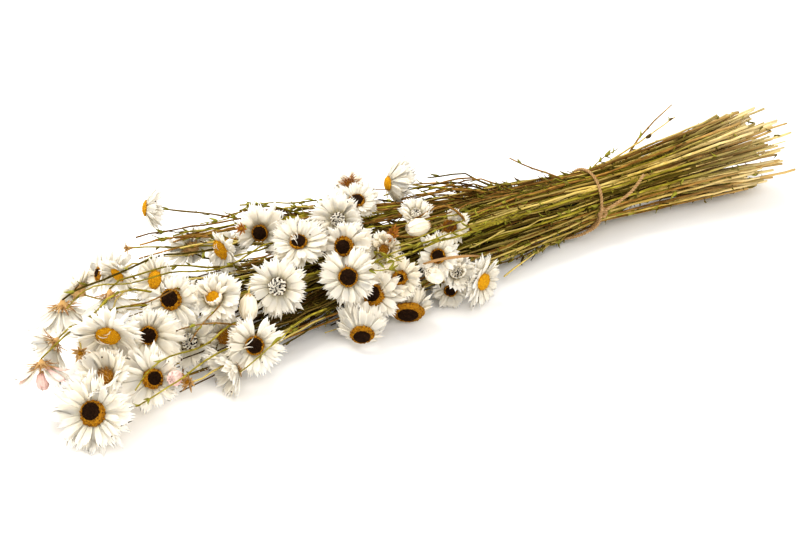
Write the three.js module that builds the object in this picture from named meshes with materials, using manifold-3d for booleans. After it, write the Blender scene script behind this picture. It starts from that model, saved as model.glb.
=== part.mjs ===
// A bunch of dried white daisies with dark discs, tied with twine and laid down on a surface.
// Millimetres, +Z up. +X runs along the bunch, from the flower heads to the cut ends of the stems.
// The origin lies on the surface, under the middle of the bunch.
import * as THREE from 'three';
import { mergeVertices } from 'three/addons/utils/BufferGeometryUtils.js';
import Module from 'manifold-3d';

const wasm = await Module();
wasm.setup();

// Driving dimensions: the gap between touching pieces, the tie, and the bundle's cut end
const CLEARANCE = 0.3;
const TIE_X = 120;
const TIE_CENTRE = [-8, 22];
const TIE_RADIUS = 20.9;
const TIE_STEPS = 14;
const TIE_SLANT = -3;
const TWINE_RADIUS = 1.1;
const TWINE_SIDES = 6;
const KNOT_ANGLE = Math.PI;
const KNOT_RADIUS = 2.3;
const CUT_END_X = 262;
const CUT_END_CENTRE = [-16, 30];
const CUT_END_SPREAD = 42;
const CUT_END_FLARE = 1.5;
const FLOOR_SECTOR = (28 * Math.PI) / 180;

// Stems: their thickness, where they pass the tie, and how they fan out to the heads
const STEM_SEED = 20;
const STEM_RADIUS = 1.25;
const NECK_RADIUS = 0.75;
const TWIG_RADIUS = 0.8;
const STEM_SIDES = 3;
const OUTER_RING = 17.8;
const INNER_RING = 10;
const INNER_START_X = 0;
const RING_JITTER = 0.16;
const STEM_WOBBLE = 2;
const STEM_TURN = 0.1;
const SPREAD_CENTRE = [-6, 26];
const FAN_REACH = 0.5;
const FAN_WIDTH = 0.9;
const FAN_HEIGHT = 0.55;
const NECK_BEND = 24;
const HANGING_BEND = 14;
const HANGING_TILT = -0.7;
const LOWEST_STEM = 5;
const WAY_STEPS = 28;
const STRAIGHT_WITHIN = 3;
const PASSING_DEPTH = 7.5;
const PASSING_HEIGHT = 11;
const PASSING_REACH = 1.4;
const ALONG_AXIS = 0.8;
const CLEAR_PASSES = 4;
const BRANCH_PLACE = 0.8;
const BRANCH_REACH = 0.4;

// Leaves: their blade, length, width, and how they turn round the stem
const LEAF_BLADE = 0.6;
const LEAF_LENGTH = [7, 11];
const LEAF_WIDTH = 2.2;
const LEAF_WIDEST = 0.45;
const LEAF_ROOT = 1;
const LEAF_TURN = 2.4;
const LEAF_LEAN = [0.75, 0.65];
const LEAF_SPACING = 6;

// The bundle's core from its cut end to its flower end: place along the bunch, middle across and
// above the surface, half width and half height. What would lie under the surface is cut flat.
const CORE_RIBS = 7;
const CORE_GROOVE = 0.9;
const CORE_CAP = 6;
const TIE_BAND = 6;
const CORE_STATIONS = [
  [190, -11, 27, 8, 8],
  [155, -9, 24, 13, 13],
  [TIE_X + 5, -8, 22, 18.2, 18.2],
  [TIE_X - 5, -8, 22, 18.2, 18.2],
  [92, -8, 20, 15, 23],
  [65, -8, 19.5, 15, 22.5],
  [30, -8, 17.5, 15, 20.5],
  [-5, -7, 20, 15, 13],
];
const CORE_END_CENTRE = [-7, 21];
const CORE_BACK = [184, -11, 27];

// The look of a head by its kind: how far its petals rise above the plane of the disc, how much
// further their tips rise, both in degrees, and how many petals it has.
const KINDS = {
  open: { rise: 12, curl: 8 },
  flat: { rise: 3, curl: -4 },
  cup: { rise: 48, curl: -6 },
  hanging: { rise: 42, curl: -14 },
  swept: { rise: -34, curl: -8 },
  star: { rise: 25, curl: 0, petals: 5 },
  bud: { rise: 80, curl: 0, petals: 6 },
};
const HEAD_SEED = 7919;
const BLADE = 0.65;
const PETAL_PITCH = 6.2;
const PETAL_FILL = 0.95;
const LAYER_RISE = 8;
const RISE_SPREAD = 4;
const LENGTH_SPREAD = 0.08;
const SHOULDER = 0.78;
const HUB_RISE = 0.35;
const CALYX_DEPTH = 5.5;
const STAR_ROOT = 3;
const SQUEEZE_ZONE = 5;
const PRESSED_GAP = 0.5;

// Discs: their radius as a share of the head's width, the room left round them, and their dome
const DISC_SHARE = 0.175;
const DISC_ROOM = 0.5;
const DISC_HEIGHT = 2.4;
const DISC_SIDES = 6;

// A bud from its base to its tip: radius and height as shares of its width
const BUD_RINGS = [
  [0.3, 0.05],
  [0.5, 0.42],
  [0.42, 0.8],
  [0.2, 1.1],
];
const BUD_BASE = 0.1;
const BUD_TIP = 1.25;
const BUD_GROOVE = 0.86;
const BUD_REACH = 0.75;
const BUD_BEHIND = 0.4;

// Every flower head: place along the bunch, across it and above the surface, the way it faces as a
// turn about the upright and a tilt above the level, its width across the petals, and its kind.
const head = (name, at, facing, width, kind, more = {}) => ({ name, at, facing, width, kind, ...more });
const HEADS = [
  head('01', [-261, -68, 17], [-130, 37], 45, 'open', { disc: 'dark', cluster: 'a' }),
  head('02', [-237, -34, 42], [-119, -12], 42, 'open', { disc: 'yellow' }),
  head('03', [-213, -34, 34], [-113, 26], 35, 'open', { disc: 'dark' }),
  head('04', [-192, -20, 44], [-130, 37], 38, 'open', { disc: 'dark' }),
  head('05', [-191, 9, 42], [-163, 30], 34, 'open', { disc: 'yellow', leaves: 2 }),
  head('06', [-222, -61, 23], [-105, 25], 36, 'open', { disc: 'dark', cluster: 'b' }),
  head('07', [-208, -66, 22], [-130, 30], 11, 'bud', { cluster: 'b' }),
  head('08', [-247, -53, 28], [-140, 60], 32, 'cup', { cluster: 'a' }),
  head('09', [-278, -35, 34], [-119, -76], 30, 'hanging', { leaves: 3 }),
  head('10', [-250, 9, 40], [-119, -80], 37, 'hanging', { leaves: 2 }),
  head('11', [-266, -18, 36], [170, -40], 28, 'hanging'),
  head('12', [-256, -40, 40], [-119, 10], 12, 'star'),
  head('13', [-223, 0, 44], [-100, -70], 32, 'hanging'),
  head('14', [-215, 45, 34], [176, 28], 27, 'open', { cluster: 'c', leaves: 3 }),
  head('15', [-208, 29, 40], [-150, -10], 28, 'open', { cluster: 'c' }),
  head('16', [-205, -73, 22], [-160, 30], 12, 'star'),
  head('17', [-190, 62, 36], [170, 0], 9, 'star', { leaves: 4 }),
  head('18', [-171, 73, 55], [162, 10], 30, 'swept', { leaves: 3 }),
  head('19', [-117, 16, 50], [-126, 26], 35, 'open', { disc: 'dark' }),
  head('20', [-145, 13, 48], [-177, 19], 30, 'open'),
  head('21', [-121, 38, 46], [61, 20], 16, 'star'),
  head('22', [-169, -30, 44], [-119, 44], 34, 'cup', { disc: 'yellow', leaves: 2 }),
  head('23', [-102, -9, 52], [-119, 65], 36, 'open', { disc: 'dark' }),
  head('24', [-131, -39, 45], [-119, 32], 37, 'open', { cluster: 'd' }),
  head('25', [-145, -40, 39], [-119, -60], 13, 'bud', { cluster: 'd' }),
  head('26', [-159, -65, 27], [-119, 32], 37, 'open', { disc: 'dark', cluster: 'e' }),
  head('27', [-173, -65, 15], [-173, -6], 36, 'cup', { cluster: 'e' }),
  head('28', [-168, -41, 22], [-119, 32], 32, 'open', { cluster: 'f' }),
  head('29', [-188, -34, 21], [-112, 32], 32, 'open', { cluster: 'f' }),
  head('30', [-46, 39, 50], [150, 10], 30, 'open'),
  head('31', [-49, 13, 56], [-119, 69], 30, 'open', { disc: 'dark' }),
  head('32', [-70, -1, 55], [-119, 32], 32, 'open'),
  head('33', [-77, -23, 49], [-133, 31], 32, 'open', { disc: 'dark' }),
  head('34', [-88, -49, 44], [-119, 32], 38, 'flat', { disc: 'dark' }),
  head('35', [-71, -50, 26], [-127, 38], 35, 'open', { disc: 'dark', cluster: 'g' }),
  head('36', [-88, -66, 12], [-119, -12], 36, 'swept', { disc: 'dark', leaves: 2 }),
  head('37', [-16, 30, 52], [173, 13], 29, 'swept', { disc: 'yellow' }),
  head('38', [-50, -57, 11], [-119, -20], 34, 'swept', { disc: 'dark' }),
  head('39', [-54, -53, 35], [-119, 32], 28, 'open', { cluster: 'g' }),
  head('40', [-23, -19, 55], [-119, 62], 24, 'cup', { cluster: 'h' }),
  head('41', [-22, -33, 54], [176, 2], 13, 'bud', { cluster: 'h' }),
  head('42', [-8, -36, 50], [-119, 49], 26, 'open', { disc: 'dark' }),
  head('43', [-26, -52, 42], [-119, 32], 27, 'open', { disc: 'dark' }),
  head('44', [-22, -58, 29], [-119, 32], 10, 'bud', { cluster: 'i' }),
  head('45', [-14, -54, 28], [-92, 29], 25, 'cup', { cluster: 'i' }),
  head('46', [-15, -50, 12], [-119, 8], 24, 'open'),
  head('47', [5, -57, 16], [-92, 29], 34, 'open', { disc: 'yellow' }),
  head('48', [-47, -29, 53], [130, 40], 16, 'star'),
  head('49', [-55, -34, 46], [-119, 32], 27, 'cup'),
  head('50', [-54, -9, 57], [150, 50], 20, 'star'),
  head('51', [-227, 55, 20], [115, 20], 34, 'open', { cluster: 'j' }),
  head('52', [-203, 60, 23], [85, 8], 30, 'open', { cluster: 'j' }),
  head('53', [-147, 63, 23], [91, 11], 34, 'open', { cluster: 'k' }),
  head('54', [-124, 61, 17], [63, 9], 31, 'open', { cluster: 'k' }),
  head('55', [-85, 54, 21], [85, 24], 34, 'open', { cluster: 'l' }),
  head('56', [-58, 46, 20], [64, 6], 30, 'open', { cluster: 'l' }),
  head('57', [-39, 38, 26], [67, 13], 33, 'open', { cluster: 'l' }),
];

// Leafy sprigs without a flower: their tips, and the points that their last stretch comes from.
const SPRIGS = [
  { tip: [-115, 52, 52], from: [-70, 40, 52], leaves: 4 },
  { tip: [-166, 30, 46], from: [-120, 30, 48], leaves: 4 },
  { tip: [-172, 52, 42], from: [-120, 46, 44], leaves: 4 },
  { tip: [-95, 28, 56], from: [-55, 24, 56], leaves: 4 },
  { tip: [30, -44, 5], from: [60, -36, 12], leaves: 3 },
];

// Thin twigs, each from inside the bundle to its tip.
const TWIGS = [
  [[112, -8, 34], [96, -10, 45], [83, 3, 49], [74, 21, 52]],
  [[160, -8, 36], [190, 6, 50], [221, 13, 60]],
  [[40, -20, 26], [6, -42, 46], [3, -32, 56], [-5, -26, 60]],
];

// The tie's two tails from the knot to their ends.
const TAILS = [
  [[128, -32, 27], [138, -36, 36], [150, -32, 44]],
  [[114, -33, 14], [102, -30, 6], [90, -27, 1.4]],
];

// Seeded draws between 0 and 1, the same on every run.
function draws(seed) {
  let state = seed;
  return () => {
    state = (state * 1664525 + 1013904223) % 4294967296;
    return state / 4294967296;
  };
}

const radians = (degrees) => (degrees * Math.PI) / 180;
const vector = (x, y, z) => new THREE.Vector3(x, y, z);
const along = (start, direction, length) => start.clone().addScaledVector(direction, length);

// Solids

function geometryOf(points, triangles) {
  const geometry = new THREE.BufferGeometry();
  geometry.setAttribute('position', new THREE.Float32BufferAttribute(points.flatMap((p) => p.toArray()), 3));
  geometry.setIndex(triangles.flat());
  return geometry;
}

function solidOf(geometry) {
  const bare = new THREE.BufferGeometry();
  bare.setAttribute('position', geometry.getAttribute('position'));
  bare.setIndex(geometry.getIndex());
  const merged = mergeVertices(bare, 1e-3);
  return new wasm.Manifold(
    new wasm.Mesh({
      numProp: 3,
      vertProperties: new Float32Array(merged.getAttribute('position').array),
      triVerts: new Uint32Array(merged.getIndex().array),
    }),
  );
}

function joined(solids) {
  return solids.reduce((sum, solid) => sum.add(solid));
}

// The largest body of a solid, without the loose scraps of a cut.
function mainBody(solid) {
  const bodies = solid.decompose();
  return bodies.reduce((best, body) => (body.volume() > best.volume() ? body : best));
}

function meshOf(name, solid, material) {
  const { vertProperties, triVerts } = solid.getMesh();
  const geometry = new THREE.BufferGeometry();
  geometry.setAttribute('position', new THREE.BufferAttribute(new Float32Array(vertProperties), 3));
  geometry.setIndex(new THREE.BufferAttribute(new Uint32Array(triVerts), 1));
  geometry.computeVertexNormals();
  const mesh = new THREE.Mesh(geometry, material);
  mesh.name = name;
  return mesh;
}

// A closed tube through the points, its radius given at each, with a flat at both ends.
function tube(points, radii, sides) {
  const last = points.length - 1;
  const ring = [];
  let across = vector(0, 0, 1);
  points.forEach((point, i) => {
    const tangent = points[Math.min(i + 1, last)].clone().sub(points[Math.max(i - 1, 0)]).normalize();
    across = across.addScaledVector(tangent, -across.dot(tangent)).normalize();
    const side = tangent.clone().cross(across);
    for (let k = 0; k < sides; k += 1) {
      const angle = (2 * Math.PI * k) / sides;
      ring.push(along(along(point, across, radii[i] * Math.cos(angle)), side, radii[i] * Math.sin(angle)));
    }
    across = across.clone();
  });
  const triangles = [];
  for (let i = 0; i < last; i += 1) {
    for (let k = 0; k < sides; k += 1) {
      const next = (k + 1) % sides;
      const [a, b, c, d] = [i * sides + k, i * sides + next, (i + 1) * sides + next, (i + 1) * sides + k];
      triangles.push([a, b, c], [a, c, d]);
    }
  }
  for (let k = 1; k < sides - 1; k += 1) {
    triangles.push([0, k + 1, k], [last * sides, last * sides + k, last * sides + k + 1]);
  }
  return geometryOf(ring, triangles);
}

// Flower heads

function frameOf({ at, facing }) {
  const [turn, tilt] = facing.map(radians);
  const axis = vector(Math.cos(turn) * Math.cos(tilt), Math.sin(turn) * Math.cos(tilt), Math.sin(tilt));
  const side = vector(-Math.sin(turn), Math.cos(turn), 0);
  return { centre: vector(...at), axis, side, up: axis.clone().cross(side) };
}

function sizesOf({ width, kind }) {
  const discRadius = width * DISC_SHARE;
  const root = discRadius + DISC_ROOM;
  const { rise, curl, petals = 2 * Math.round(width / PETAL_PITCH) } = KINDS[kind];
  return { discRadius, root, petal: width / 2 - root, rise, curl, petals };
}

// The ball that holds a head's petals, for telling which heads press on each other.
function reachOf(flower) {
  const { root, petal, rise } = sizesOf(flower);
  const { centre, axis } = frameOf(flower);
  if (flower.kind === 'bud') {
    return { middle: along(centre, axis, flower.width / 3), radius: flower.width * BUD_REACH };
  }
  const depth = petal * Math.sin(radians(rise));
  return {
    middle: along(centre, axis, depth / 2),
    radius: Math.hypot(root + petal * Math.cos(radians(rise)), depth / 2),
  };
}

// The planes where a head's petals stop because a neighbour's begin.
function neighbourPlanes(flower) {
  const mine = reachOf(flower);
  const planes = [];
  for (const other of HEADS) {
    if (other === flower || (flower.cluster && other.cluster === flower.cluster)) continue;
    const theirs = reachOf(other);
    const normal = theirs.middle.clone().sub(mine.middle);
    const distance = normal.length();
    const reach = mine.radius + theirs.radius;
    if (distance >= reach) continue;
    normal.normalize();
    const share = (distance * mine.radius) / reach;
    planes.push({ normal, at: mine.middle.dot(normal) + share, beyond: mine.radius - share });
  }
  return planes;
}

// Moves a petal point back from the planes, keeping the order of the points that it squeezes.
function pressed(point, planes) {
  const moved = point.clone();
  for (const { normal, at, beyond } of planes) {
    const over = moved.dot(normal) - at;
    if (over <= -SQUEEZE_ZONE) continue;
    const share = Math.min(1, (over + SQUEEZE_ZONE) / (beyond + SQUEEZE_ZONE));
    moved.addScaledVector(normal, -SQUEEZE_ZONE + share * (SQUEEZE_ZONE - PRESSED_GAP) - over);
  }
  for (let pass = 0; pass < 4; pass += 1) {
    for (const { normal, at } of planes) {
      const over = moved.dot(normal) - at + PRESSED_GAP;
      if (over > 0) moved.addScaledVector(normal, -over);
    }
  }
  return moved;
}

// One closed body: a hub, the petals round it in two alternating layers, and the calyx under it.
function openHead(flower) {
  const draw = draws(Number(flower.name) * HEAD_SEED);
  const { root, petal, rise, curl, petals } = sizesOf(flower);
  const { centre, axis, side, up } = frameOf(flower);
  const planes = neighbourPlanes(flower);
  const place = (angle, radius, height) =>
    along(along(along(centre, side, radius * Math.cos(angle)), up, radius * Math.sin(angle)), axis, height);
  const points = [
    place(0, 0, flower.disc ? 0 : root * HUB_RISE),
    place(0, 0, -CALYX_DEPTH),
  ];
  const triangles = [];
  const pitch = (2 * Math.PI) / petals;
  const rowOf = (i) => 2 + 8 * (i % petals);
  for (let i = 0; i < petals; i += 1) {
    const lift = radians(rise + (i % 2 ? LAYER_RISE : -LAYER_RISE) + (draw() - 0.5) * 2 * RISE_SPREAD);
    const tipLift = lift + radians(curl);
    const length = petal * (1 - LENGTH_SPREAD * 2 * draw());
    const middle = pitch * (i + 0.5);
    const shoulderRadius = root + length * SHOULDER * Math.cos(lift);
    const shoulderHeight = length * SHOULDER * Math.sin(lift);
    const halfTurn = (pitch / 2) * PETAL_FILL;
    const tipRadius = shoulderRadius + length * (1 - SHOULDER) * Math.cos(tipLift);
    const tipHeight = shoulderHeight + length * (1 - SHOULDER) * Math.sin(tipLift);
    const meanLift = radians(rise);
    const outline = [
      [place(pitch * i, root, 0), meanLift, pitch * i, false],
      [place(middle - halfTurn, shoulderRadius, shoulderHeight), lift, middle, true],
      [place(middle, tipRadius, tipHeight), tipLift, middle, true],
      [place(middle + halfTurn, shoulderRadius, shoulderHeight), lift, middle, true],
    ];
    for (const [point, slope, angle, loose] of outline) {
      const under = place(angle, BLADE * Math.sin(slope), -BLADE * Math.cos(slope)).sub(centre);
      let top = point;
      if (loose) {
        const mid = point.clone().addScaledVector(under, 0.5);
        top = point.clone().add(pressed(mid, planes)).sub(mid);
      }
      const below = top.clone().add(under);
      const sunk = Math.min(top.z, below.z, loose ? Infinity : 0);
      if (loose && sunk < 0) {
        top.z -= sunk;
        below.z -= sunk;
      }
      points.push(top, below);
    }
    const row = rowOf(i);
    const next = rowOf(i + 1);
    const edge = [row, row + 2, row + 4, row + 6, next];
    triangles.push([0, row, next], [1, next + 1, row + 1]);
    triangles.push([edge[0], edge[1], edge[4]], [edge[1], edge[2], edge[3]], [edge[1], edge[3], edge[4]]);
    for (const [a, b, c] of triangles.slice(-3)) triangles.push([a + 1, c + 1, b + 1]);
    for (let k = 0; k < 4; k += 1) {
      const [a, b] = [edge[k], edge[k + 1]];
      triangles.push([a, a + 1, b + 1], [a, b + 1, b]);
    }
  }
  return geometryOf(points, triangles);
}

// A closed bud: an oval body with the edges of its folded petals standing out as ribs.
function bud(flower) {
  const { centre, axis, side, up } = frameOf(flower);
  const { petals } = sizesOf(flower);
  const { width } = flower;
  const points = [along(centre, axis, -width * BUD_BASE), along(centre, axis, width * BUD_TIP)];
  const triangles = [];
  const count = petals * 2;
  BUD_RINGS.forEach(([radius, height], r) => {
    for (let k = 0; k < count; k += 1) {
      const angle = (2 * Math.PI * k) / count;
      const out = width * radius * (k % 2 ? 1 : BUD_GROOVE);
      const point = along(along(centre, side, out * Math.cos(angle)), up, out * Math.sin(angle));
      points.push(along(point, axis, width * height));
    }
    const row = 2 + r * count;
    for (let k = 0; k < count; k += 1) {
      const next = (k + 1) % count;
      const [a, b] = [row - count + k, row - count + next];
      if (r === 0) triangles.push([0, row + next, row + k]);
      else triangles.push([a, b, row + next], [a, row + next, row + k]);
      if (r === BUD_RINGS.length - 1) triangles.push([1, row + k, row + next]);
    }
  });
  return geometryOf(points, triangles);
}

const headGeometry = (flower) => (flower.kind === 'bud' ? bud(flower) : openHead(flower));

// The disc on a head's hub: a low dome with a flat underside.
function discGeometry(flower) {
  const { discRadius } = sizesOf(flower);
  const profile = [
    [0, 0],
    [discRadius * 0.94, 0],
    [discRadius, DISC_HEIGHT * 0.35],
    [discRadius * 0.72, DISC_HEIGHT * 0.9],
    [0, DISC_HEIGHT],
  ].map(([radius, height]) => new THREE.Vector2(radius, height));
  const dome = new THREE.LatheGeometry(profile, DISC_SIDES);
  dome.rotateX(Math.PI / 2);
  const { centre, axis, side, up } = frameOf(flower);
  const basis = new THREE.Matrix4().makeBasis(side, up, axis);
  dome.applyMatrix4(basis);
  const seat = along(centre, axis, CLEARANCE);
  return dome.translate(seat.x, seat.y, seat.z);
}

// Stems

const mix = THREE.MathUtils.lerp;
const onRing = (x, [y, z], radius, angle) =>
  vector(x, y + radius * Math.cos(angle), z + radius * Math.sin(angle));

// A cluster's first head has a stem from the bundle, and the stems of its others branch off that.
const isFirst = (flower) =>
  !flower.cluster || HEADS.find(({ cluster }) => cluster === flower.cluster) === flower;

// Where a stem passes the tie. The stems fill the bundle in the angular order of what they carry.
function slots() {
  const stemEnds = [...HEADS.filter(isFirst).map(headEnd), ...SPRIGS.map(sprigEnd)];
  const turnOf = ({ tip }) => {
    const angle = Math.atan2(tip.z - SPREAD_CENTRE[1], tip.y - SPREAD_CENTRE[0]);
    return angle < -Math.PI / 2 ? angle + 2 * Math.PI : angle;
  };
  stemEnds.sort((a, b) => turnOf(a) - turnOf(b));
  const free = 2 * (Math.PI - FLOOR_SECTOR);
  return stemEnds.map((end, i) => ({
    ...end,
    outer: i % 2 === 0,
    angle: -Math.PI / 2 + FLOOR_SECTOR + (free * i) / (stemEnds.length - 1),
  }));
}

function headEnd(flower) {
  const { centre, axis } = frameOf(flower);
  const below = flower.kind === 'bud' ? flower.width * BUD_BASE : CALYX_DEPTH;
  const gap = flower.kind === 'star' ? -STAR_ROOT : CLEARANCE;
  const tip = along(centre, axis, -below - gap);
  const bend = axis.z < HANGING_TILT ? HANGING_BEND : NECK_BEND;
  return { tip, from: along(tip, axis, -bend), leaves: flower.leaves ?? 0, name: flower.name };
}

function sprigEnd({ tip, from, leaves }) {
  return { tip: vector(...tip), from: vector(...from), leaves, name: '' };
}

// The way from the bundle to a stem's tip, bent clear of the heads that it passes.
function wayOut({ tip, from, angle, outer, name }) {
  const start = outer
    ? onRing(TIE_X, TIE_CENTRE, OUTER_RING, angle)
    : onRing(INNER_START_X, CORE_END_CENTRE, INNER_RING, angle);
  const run = start.x - tip.x;
  const out = start.clone().sub(vector(start.x, ...TIE_CENTRE));
  const away = vector(start.x - run * FAN_REACH, start.y + out.y * FAN_WIDTH, start.z + out.z * FAN_HEIGHT);
  away.z = Math.max(away.z, LOWEST_STEM);
  const back = from.clone();
  back.z = Math.max(back.z, LOWEST_STEM);
  const curve = new THREE.CubicBezierCurve3(start, away, back, tip.clone());
  return fewerPoints(bentClear(curve.getPoints(WAY_STEPS), name), STRAIGHT_WITHIN);
}

// Pushes the inner points of a way behind each head that it would cross, or round it where the way
// runs along the head's axis.
function bentClear(points, name) {
  const others = HEADS.filter((flower) => flower.name !== name && flower.kind !== 'star');
  for (let pass = 0; pass < CLEAR_PASSES; pass += 1) {
    for (let i = 2; i < points.length - 2; i += 1) {
      const course = points[i + 1].clone().sub(points[i - 1]).normalize();
      for (const flower of others) {
        const { centre, axis } = frameOf(flower);
        const radial = points[i].clone().sub(centre);
        const height = radial.dot(axis);
        radial.addScaledVector(axis, -height);
        const radius = flower.width * (flower.kind === 'bud' ? BUD_REACH : 0.5);
        const off = radial.length() / radius;
        const behind = flower.kind === 'bud' ? -BUD_BEHIND * radius : -PASSING_DEPTH;
        if (off > PASSING_REACH || height < behind || height > PASSING_HEIGHT) continue;
        const share = Math.min(1, (PASSING_REACH - off) / (PASSING_REACH - 1));
        if (Math.abs(course.dot(axis)) < ALONG_AXIS) {
          points[i].addScaledVector(axis, (behind - height) * share);
        } else if (off < 1) {
          points[i].addScaledVector(radial.normalize(), (1 - off) * radius);
        }
      }
      points[i].z = Math.max(points[i].z, LOWEST_STEM / 2);
    }
    if (pass === CLEAR_PASSES - 1) break;
    for (let i = 2; i < points.length - 3; i += 1) {
      points[i].lerp(points[i - 1].clone().add(points[i + 1]).multiplyScalar(0.5), 0.5);
    }
  }
  return points;
}

// Leaves out the points of a way that lie near the straight line between those kept.
function fewerPoints(points, within) {
  if (points.length < 3) return points;
  const line = new THREE.Line3(points[0], points[points.length - 1]);
  const nearest = vector(0, 0, 0);
  const distances = points.map((point) => line.closestPointToPoint(point, true, nearest).distanceTo(point));
  const furthest = distances.indexOf(Math.max(...distances));
  if (distances[furthest] < within) return [points[0], points[points.length - 1]];
  const first = fewerPoints(points.slice(0, furthest + 1), within);
  return [...first.slice(0, -1), ...fewerPoints(points.slice(furthest), within)];
}

function pathOf(points) {
  const path = new THREE.CurvePath();
  for (let i = 1; i < points.length; i += 1) path.add(new THREE.LineCurve3(points[i - 1], points[i]));
  return path;
}

function stemTube(points, radii, grown) {
  const lifted = points.map((point, i) => {
    const low = radii[i] + 0.05;
    return point.z < low ? vector(point.x, point.y, low) : point;
  });
  return solidOf(tube(lifted, radii.map((radius) => radius + (grown ? 2 * CLEARANCE : 0)), STEM_SIDES));
}

function stemSolids(slot, draw, grown) {
  const points = wayOut(slot);
  const last = points.length - 1;
  const radii = points.map((_, i) => mix(STEM_RADIUS, NECK_RADIUS, i / last));
  const cutX = CUT_END_X + CUT_END_SPREAD * (draw() - 0.35);
  const wobble = () => STEM_WOBBLE * (draw() - 0.5);
  const ring = OUTER_RING * (slot.outer ? 1 + RING_JITTER * (draw() - 0.5) : 0.9 * Math.sqrt(draw()));
  const end = onRing(cutX, CUT_END_CENTRE, ring * CUT_END_FLARE, slot.angle + STEM_TURN * (draw() - 0.5));
  const [backX, ...backCentre] = CORE_BACK;
  const start = slot.outer ? points[0] : onRing(backX, backCentre, ring * 0.5, slot.angle);
  const middle = start.clone().lerp(end, 0.5).add(vector(0, wobble(), wobble()));
  if (slot.outer) {
    return [stemTube([end, middle, ...points], [STEM_RADIUS, STEM_RADIUS, ...radii], grown)];
  }
  const cut = [start, middle, end];
  return [stemTube(points, radii, grown), stemTube(cut, cut.map(() => STEM_RADIUS), grown)];
}

// The bundle's core, ribbed like the stems that lie packed in it, flat where it lies on the surface.
function core() {
  const points = [];
  const triangles = [];
  const count = CORE_RIBS * 2;
  for (const [x, y, z, halfWidth, halfHeight] of CORE_STATIONS) {
    for (let k = 0; k < count; k += 1) {
      const angle = (2 * Math.PI * (k + 0.5)) / count;
      const out = k % 2 || Math.abs(x - TIE_X) < TIE_BAND ? 1 : CORE_GROOVE;
      const height = z + halfHeight * out * Math.sin(angle);
      points.push(vector(x, y + halfWidth * out * Math.cos(angle), Math.max(0, height)));
    }
  }
  const last = CORE_STATIONS.length - 1;
  for (let i = 0; i < last; i += 1) {
    for (let k = 0; k < count; k += 1) {
      const next = (k + 1) % count;
      const [a, b, c, d] = [i * count + k, i * count + next, (i + 1) * count + next, (i + 1) * count + k];
      triangles.push([a, c, b], [a, d, c]);
    }
  }
  const [[cutX, cutY, cutZ], [farX, farY, farZ]] = [CORE_STATIONS[0], CORE_STATIONS[last]];
  points.push(vector(cutX + CORE_CAP, cutY, cutZ), vector(farX - CORE_CAP, farY, farZ));
  for (let k = 0; k < count; k += 1) {
    const next = (k + 1) % count;
    triangles.push([points.length - 2, k, next]);
    triangles.push([points.length - 1, last * count + next, last * count + k]);
  }
  return solidOf(geometryOf(points, triangles));
}

// A thin leaf: four corners, its stalk end sunk in what it grows from.
function leaf(base, direction, across, length, width, grown) {
  const wide = width / 2 + (grown ? CLEARANCE : 0);
  const long = length + (grown ? CLEARANCE : 0);
  const widest = along(base, direction, long * LEAF_WIDEST);
  const thick = (LEAF_BLADE + (grown ? 2 * CLEARANCE : 0)) / 2;
  const normal = direction.clone().cross(across).normalize();
  const corners = [
    along(base, direction, -LEAF_ROOT),
    along(widest, across, wide),
    along(base, direction, long),
    along(widest, across, -wide),
  ];
  const points = corners.flatMap((corner) => [along(corner, normal, thick), along(corner, normal, -thick)]);
  const triangles = [[0, 4, 2], [0, 6, 4], [1, 3, 5], [1, 5, 7]];
  for (let k = 0; k < 4; k += 1) {
    const [a, b] = [2 * k, 2 * ((k + 1) % 4)];
    triangles.push([a, b, b + 1], [a, b + 1, a + 1]);
  }
  return solidOf(geometryOf(points, triangles));
}

function leavesOf(slot, draw, grown) {
  const way = pathOf(wayOut(slot));
  const solids = [];
  for (let i = 0; i < slot.leaves; i += 1) {
    const t = 1 - (i + 0.6) / (slot.leaves + LEAF_SPACING);
    const base = way.getPoint(t);
    const tangent = way.getTangent(t);
    const turn = LEAF_TURN * i + draw();
    const side = tangent.clone().cross(vector(0, 0, 1)).normalize();
    const up = side.clone().cross(tangent);
    const outward = side.clone().multiplyScalar(Math.cos(turn)).addScaledVector(up, Math.sin(turn));
    const [onward, aside] = LEAF_LEAN;
    const direction = tangent.clone().multiplyScalar(onward).addScaledVector(outward, aside).normalize();
    const across = direction.clone().cross(outward).normalize();
    solids.push(leaf(base, direction, across, mix(...LEAF_LENGTH, draw()), LEAF_WIDTH, grown));
  }
  return solids;
}

// The stem of a cluster's further head, from its place on the first one's stem.
function branchStem(flower, ways, grown) {
  const parent = ways.get(HEADS.find(({ cluster }) => cluster === flower.cluster).name);
  const curve = pathOf(parent);
  const { tip, from, name } = headEnd(flower);
  const start = curve.getPoint(BRANCH_PLACE);
  const away = along(start, curve.getTangent(BRANCH_PLACE), start.distanceTo(tip) * BRANCH_REACH);
  const way = new THREE.CubicBezierCurve3(start, away, from, tip).getPoints(WAY_STEPS / 2);
  const points = fewerPoints(bentClear(way, name), STRAIGHT_WITHIN);
  return stemTube(points, points.map(() => NECK_RADIUS), grown);
}

function stems(grown) {
  const draw = draws(STEM_SEED);
  const parts = [];
  const ways = new Map();
  for (const slot of slots()) {
    ways.set(slot.name, wayOut(slot));
    parts.push(...stemSolids(slot, draw, grown), ...leavesOf(slot, draw, grown));
  }
  for (const flower of HEADS.filter((each) => !isFirst(each))) {
    parts.push(branchStem(flower, ways, grown));
  }
  for (const twig of TWIGS) {
    const points = twig.map((point) => vector(...point));
    parts.push(stemTube(points, points.map(() => TWIG_RADIUS), grown));
  }
  if (!grown) parts.push(core());
  return parts;
}

// The tie

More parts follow.
